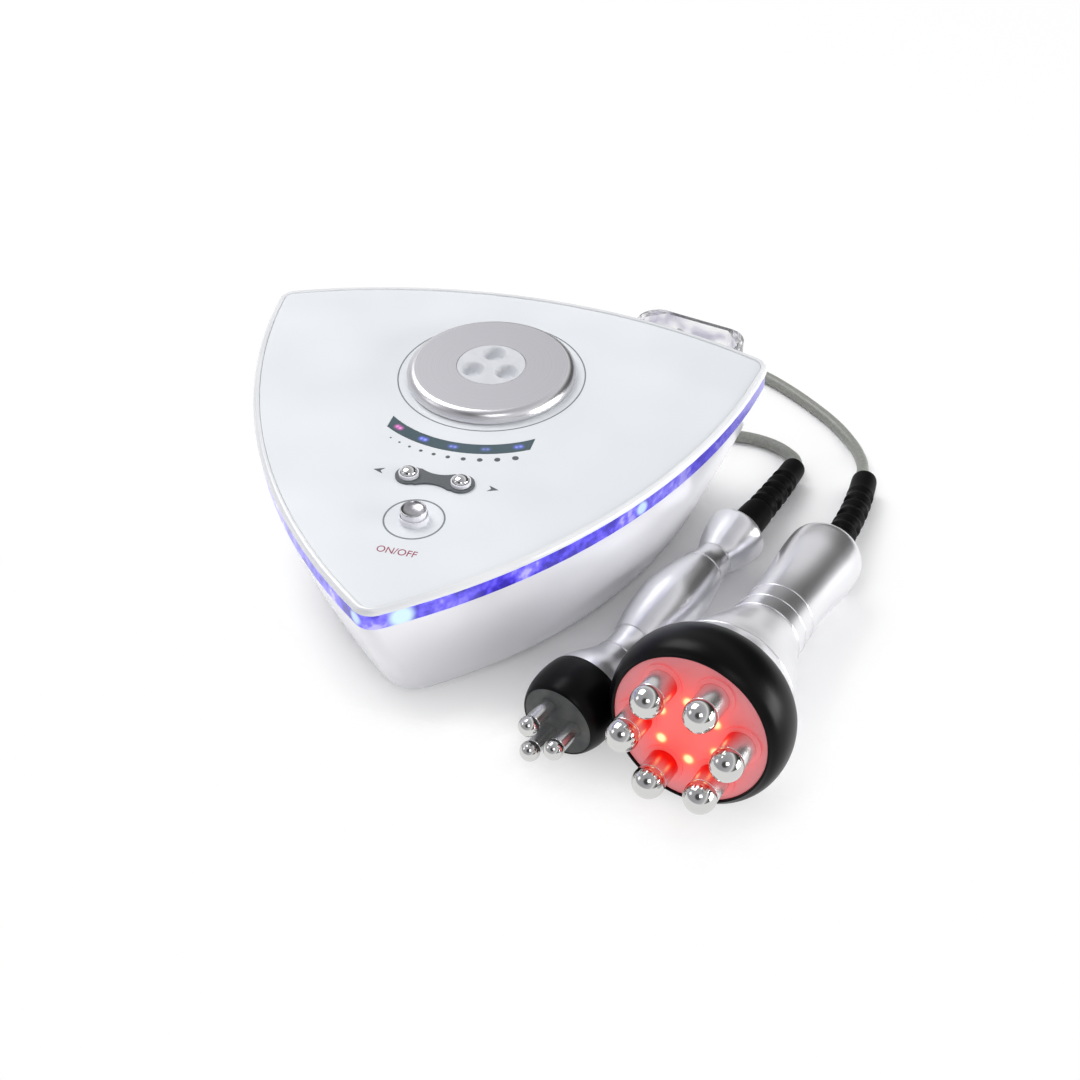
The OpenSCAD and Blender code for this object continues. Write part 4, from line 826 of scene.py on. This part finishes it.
# %% Bright lines round the handles
BEAD_HIGH, BEAD_HALF, BEAD_SUNK, BEAD_ROOT = 0.38, 0.45, 0.1, 0.6
for name, hand, body, places in (
        ("small_bright_lines", SMALL_HAND, "small_handpiece",
         [(129.9, 8.85), (118.5, 10.5), (59.5, 9.75), (45.3, 9.8)]),
        ("large_bright_lines", BIG_HAND, "large_handpiece",
         [(92.7, 16.2), (82, 16.9), (72.7, 17.7), (34.8, 30.1)])):
    beads = []
    for at, r in places:
        bead = arc((r - BEAD_SUNK, -at), (BEAD_HIGH, BEAD_HALF), -90, 90, 8)
        beads.append(turned(f"{name}_{at}", bead + [(r - BEAD_ROOT, -at), bead[0]], angle=50))
    made = joined(name, beads)
    settle(made, hand)
    dress(made, polished_aluminium)
    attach(made, body)
    print(name, "has", len(made.data.polygons), "faces")

# %% [markdown]
# The marks on the lid are ink a few hundredths of a millimetre thick: a fine circle round the disc,
# another round the power button, ten dots that grow from left to right, two arrowheads beside the
# keys, and the words of the switch. A circle that is extruded inwards and then upwards gives a
# printed ring, and the dots are short cylinders.

# %% Printed rings and dots
INK_Z, INK_T = 80.0, 0.06
DOT_R, DOT_STEP, DOT_CLOSE, DOT_WIDENING, DOT_MIDDLE = 64.6, 5.9, 0.78, 0.0244, 4.5
DOT_FIRST, DOT_GROWTH = 0.45, 1 / 9


def ink(made, name, colour):
    """Names and dresses a printed mark; it stays with the base."""
    made.name = name
    dress(made, workaday[colour])
    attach(made, "base")


def printed_ring(name, centre, radius, width):
    """A flat ring of ink on the lid."""
    outer, inner, middle = radius + width / 2, radius - width / 2, spot(*centre, INK_Z)
    bpy.ops.mesh.primitive_circle_add(vertices=128, radius=outer * MM, location=middle,
                                      fill_type="NOTHING")
    made = bpy.context.object
    open_mesh(made)
    bpy.ops.mesh.extrude_region_move()
    bpy.ops.transform.resize(value=(inner / outer, inner / outer, 1), center_override=middle)
    bpy.ops.mesh.select_all(action="SELECT")
    extrude_up(INK_T)
    close_mesh()
    bpy.ops.object.transform_apply()
    ink(made, name, "grey_ink")


printed_ring("disc_ring_line", DISC, 43.55, 0.62)
printed_ring("power_ring_line", (0, -81), 12.8, 0.75)
dots = []
for k in range(10):
    turn = (k * (DOT_CLOSE + DOT_WIDENING * k) - DOT_MIDDLE) * DOT_STEP - 90
    place = spot(*polar(DOT_R, turn, DISC), INK_Z + INK_T / 2)
    bpy.ops.mesh.primitive_cylinder_add(vertices=28, radius=(DOT_FIRST + DOT_GROWTH * k) * MM,
                                        depth=INK_T * MM, location=place)
    bpy.ops.object.transform_apply()
    dots.append(bpy.context.object)
level_dots = joined("level_dots", dots)
ink(level_dots, "level_dots", "dark_ink")
print("dots have", len(level_dots.data.polygons), "faces")

# %% [markdown]
# The arrowheads start as a triangle, which is a circle of three corners. Pulling the middle of its
# blunt side inwards gives the swept-back look. The text object writes the switch's words, and it is
# turned into a mesh before it is put in place.

# %% Arrowheads and the switch's words
ARROW_R, ARROW_STRETCH, ARROW_BLUNT, ARROW_NOTCH = 2.9, (1.1, 0.8, 1, 1), -0.8, 1.5
WORDS_WIDE, WORDS_TALL, WORDS_Y = 17.2, 3.8, -102.6


def arrowhead(name, x, y, pointing):
    """A small swept arrowhead of ink; pointing is 1 for right and -1 for left."""
    bpy.ops.mesh.primitive_circle_add(vertices=3, radius=ARROW_R * MM, location=(0, 0, 0),
                                      rotation=(0, 0, math.radians(-90 * pointing)), fill_type="NGON")
    made = bpy.context.object
    bpy.ops.object.transform_apply()
    made.data.transform(Matrix.Diagonal(ARROW_STRETCH))
    open_mesh(made)
    bpy.ops.mesh.subdivide(number_cuts=1)
    close_mesh(outwards=False)
    tail = min(made.data.vertices, key=lambda v: (v.co.x * pointing > ARROW_BLUNT * MM, abs(v.co.y)))
    tail.co.x += pointing * ARROW_NOTCH * MM
    open_mesh(made)
    extrude_up(INK_T)
    close_mesh()
    settle(made, Matrix.Translation(spot(x, y, INK_Z)))
    ink(made, name, "dark_ink")


arrowhead("arrow_down_level", -25.2, -53.3, -1)
arrowhead("arrow_up_level", 25.2, -53.3, 1)

bpy.ops.object.text_add(location=(0, 0, 0))
words = bpy.context.object
words.data.body = "ON/OFF"
words.data.align_x, words.data.align_y = "CENTER", "CENTER"
words.data.size, words.data.extrude = 5.6 * MM, INK_T / 2 * MM
words.data.resolution_u = 6
only(words)
bpy.ops.object.convert(target="MESH")
words = bpy.context.object
words.scale = (WORDS_WIDE * MM / words.dimensions.x, WORDS_TALL * MM / words.dimensions.y, 1)
words.location = spot(0, WORDS_Y, INK_Z + INK_T / 2)
bpy.ops.object.transform_apply()
ink(words, "switch_words", "red_ink")
print("words span", [round(v / MM, 1) for v in words.dimensions])

# %% [markdown]
# A strain relief is a soft PVC sleeve moulded onto the cable. Half slots, cut from alternate sides,
# let it bend. It is modelled straight: a circle is extruded ring by ring, each ring scaled to the
# sleeve's own taper, and the slots are pinched in, one from one side and the next from the other. A
# Curve modifier then lays the sleeve along its real bend, and two levels of subdivision round the
# slots as the mould does.

# %% Strain relief sleeves
RELIEF_SIDES, BEND_STEPS, INSIDE = 28, 12, 2
SLOT_STEPS = ((0.0, 1.0), (0.2, 0.97), (0.42, 0.97), (0.6, 1.0), (0.8, 1.03))  # share of pitch, of radius
PINCH, PINCH_SIDE, SLICE = 0.2, 0.6, 0.02


def relief_line(hand, length, hub, run, bend, roll):
    """Points in metres along a relief's middle, from inside the handle's end wall to its tip."""
    bend_r = run / math.radians(bend)
    sideways = Vector((*polar(1, roll), 0))
    points = [Vector((0, 0, INSIDE - length - s)) for s in (0, INSIDE + hub * 0.5)]
    for k in range(BEND_STEPS + 1):
        turn = math.radians(bend) * k / BEND_STEPS
        points.append(sideways * (bend_r - bend_r * math.cos(turn))
                      + Vector((0, 0, -length - hub - bend_r * math.sin(turn))))
    return [hand @ (p * MM) for p in points]


def sleeve(name, node, line_points, r0, r1, smooth_start, slots, smooth_end):
    """A slotted sleeve that follows a line; radii and lengths are in millimetres."""
    line, middle = curve_through(name + "_line", line_points, steps=8)
    long = sum((b - a).length for a, b in zip(middle, middle[1:])) / MM
    pitch = (long - smooth_start - smooth_end) / slots
    slot_r = r0 * 0.95
    stations = [(0.0, r0), (smooth_start * 0.5, r0 * 0.985), (smooth_start - 0.6, slot_r)]
    pinched = []
    for k in range(slots):
        z = smooth_start + pitch * k
        r = slot_r + (r1 - slot_r) * z / long
        for part, scale in SLOT_STEPS:
            if scale < 1:
                pinched.append((z + part * pitch, k % 2))
            stations.append((z + part * pitch, r * scale))
    stations += [(long - smooth_end, r1 * 1.02), (long - smooth_end * 0.5, r1 * 1.01), (long - 1.6, r1),
                 (long - 0.5, r1 * 0.93), (long, r1 * 0.8)]
    bpy.ops.mesh.primitive_circle_add(vertices=RELIEF_SIDES, radius=r0 * MM, location=(0, 0, 0),
                                      fill_type="NGON")
    made = bpy.context.object
    made.name = name
    open_mesh(made)
    for (z0, ra), (z1, rb) in zip(stations, stations[1:]):
        extrude_up(z1 - z0)
        bpy.ops.transform.resize(value=(rb / ra, rb / ra, 1), center_override=(0, 0, z1 * MM))
    close_mesh()
    for z, odd in pinched:
        for v in made.data.vertices:
            if abs(v.co.z - z * MM) < SLICE * MM:
                lean = 0.5 + 0.5 * math.cos(math.atan2(v.co.y, v.co.x) - odd * math.pi - PINCH_SIDE)
                v.co.x *= 1 - PINCH * lean
                v.co.y *= 1 - PINCH * lean
    follow = made.modifiers.new("follow", "CURVE")
    follow.object, follow.deform_axis = line, "POS_Z"
    only(made)
    bpy.ops.object.modifier_apply(modifier="follow")
    rounding = made.modifiers.new("rounding", "SUBSURF")
    rounding.levels = rounding.render_levels = 2
    bpy.ops.object.modifier_apply(modifier="rounding")
    bpy.ops.object.shade_smooth()
    bpy.data.objects.remove(line)
    dress(made, black_pvc)
    stand_for(made, node)
    print(name, "is", round(long, 1), "mm long with", len(made.data.polygons), "faces")


small_line = relief_line(SMALL_HAND, SMALL_LENGTH, hub=1, run=66, bend=11, roll=308)
sleeve("small_relief_sleeve", "small_relief", small_line, r0=8.0, r1=6.0, smooth_start=22, slots=5,
       smooth_end=14)
big_line = relief_line(BIG_HAND, BIG_LENGTH, hub=7, run=67, bend=14, roll=260)
sleeve("large_relief_sleeve", "big_relief", big_line, r0=7.6, r1=6.3, smooth_start=17, slots=6,
       smooth_end=15)

# %% [markdown]
# The stage is a wide pale table. A studio keeps its ground white by lighting it on its own, but
# more light on the table would also wash out the set. Light Path solves that: what the camera, a
# mirror or a clear part sees of the table is lifted towards white, while the light that the table
# sends back to the set stays natural. Ambient Occlusion tells how much stands close to a point of
# the table: there the lift is weak, so that the shadow under the set stays deep. The lift grows
# again towards the front edge.

# %% Table
TABLE_WIDE, AO_REACH, FRONT_FROM, FRONT_TO = 14, 36, -65, -135
bpy.ops.mesh.primitive_plane_add(size=TABLE_WIDE, location=(0, 0, 0))
table = bpy.context.object
table.name = "table"
ground, tree, shader = finish("pale_ground", "#FFFFFF", 0.9)
seen = add(tree, "LightPath", {}).outputs
either = add(tree, "Math", {0: seen["Is Camera Ray"], 1: seen["Is Glossy Ray"]}, operation="MAXIMUM")
any_way = add(tree, "Math", {0: either, 1: seen["Is Transmission Ray"]}, operation="MAXIMUM")
clear = add(tree, "AmbientOcclusion", {"Distance": AO_REACH * MM}, samples=8)
lift = add(tree, "MapRange", {"Value": clear.outputs["AO"], "From Min": 0.55, "From Max": 0.96,
                              "To Min": 0.0, "To Max": 0.92}, interpolation_type="SMOOTHSTEP")
depth = add(tree, "SeparateXYZ", {0: add(tree, "TexCoord", {}).outputs["Object"]})
front = add(tree, "MapRange", {"Value": depth.outputs["Y"], "From Min": spot(0, FRONT_FROM).y,
                               "From Max": spot(0, FRONT_TO).y, "To Min": 0.0, "To Max": 0.72})
raised = add(tree, "Math", {0: lift, 1: front}, operation="ADD", use_clamp=True)
share = add(tree, "Math", {0: any_way, 1: raised}, operation="MULTIPLY")
white = add(tree, "Emission", {"Color": (1, 1, 1, 1), "Strength": 1.0})
lifted = add(tree, "MixShader", {0: share, 1: shader, 2: white})
feed(tree.nodes["Material Output"], "Surface", lifted)
dress(table, ground)
print("table", table.dimensions.x, "m wide")

# %% [markdown]
# The light is one big soft lamp high behind the set on the left, and two smaller ones, high in front
# and on the left, whose streaks run along every rounded metal edge. A low reflector on the right
# reaches under the lid's overhang. The room is pale but not even: a bright band runs round it, dips
# on the side that the lamps leave dark, and ends at a dim horizon. A patch above the camera is dark
# too. Silver and chrome only look like metal when they have both to reflect.

# %% Lamps and room
for name, where, aim, wide, tall, watts in (
        ("key_lamp", (-0.85, 0.48, 1.3), (0, 0, 0.03), 0.9, 0.9, 14.0),
        ("high_fill", (0.36, -0.95, 1.16), (0, 0, 0.03), 0.45, 0.45, 2.4),
        ("left_fill", (-1.25, -0.4, 0.72), (0, 0, 0.03), 0.45, 0.45, 0.8),
        ("low_reflector", (1.22, 0.02, 0.24), (0.05, 0, 0.05), 0.8, 0.42, 11.5)):
    lamp = bpy.data.lights.new(name, "AREA")
    lamp.shape, lamp.size, lamp.size_y, lamp.energy = "RECTANGLE", wide, tall, watts
    hung = linked(name, lamp)
    hung.location = where
    hung.rotation_euler = (Vector(aim) - Vector(where)).to_track_quat("-Z", "Y").to_euler()

BAND_TILT, OVER_CAMERA = (-0.73, -0.52, 1.0), (-0.1, -0.68, 0.73)
world = bpy.data.worlds.new("pale_room")
bpy.context.scene.world = world
world.use_nodes = True
tree = world.node_tree
direction = add(tree, "TexCoord", {}).outputs["Generated"]
tilted = add(tree, "VectorMath", {0: direction, 1: BAND_TILT}, operation="DOT_PRODUCT")
height = add(tree, "MapRange", {"Value": tilted.outputs["Value"], "From Min": -1.0, "From Max": 1.0})
room = add(tree, "ValToRGB", {"Fac": height}, stops=[
    (0.05, "#262624"), (1.0, "#B2B2B6"), (0.3, "#3C3C39"), (0.4, "#686864"), (0.46, "#979796"),
    (0.51, "#CFCFD1"), (0.555, "#FFFFFF"), (0.7, "#C6C6CA")])
towards = add(tree, "VectorMath", {0: direction, 1: OVER_CAMERA}, operation="DOT_PRODUCT")
dark_side = add(tree, "MapRange", {"Value": towards.outputs["Value"], "From Min": 0.9, "From Max": 0.975},
                interpolation_type="SMOOTHSTEP")
scenery = add(tree, "Mix", {SHARE: dark_side, UNDER: room, OVER: linear("#4A4A4A")},
              data_type="RGBA")
feed(tree.nodes["Background"], "Color", scenery.outputs[2])
feed(tree.nodes["Background"], "Strength", 1.0)
bpy.context.scene.view_settings.view_transform = "Standard"

# %% Leave nothing selected
bpy.ops.object.select_all(action="DESELECT")
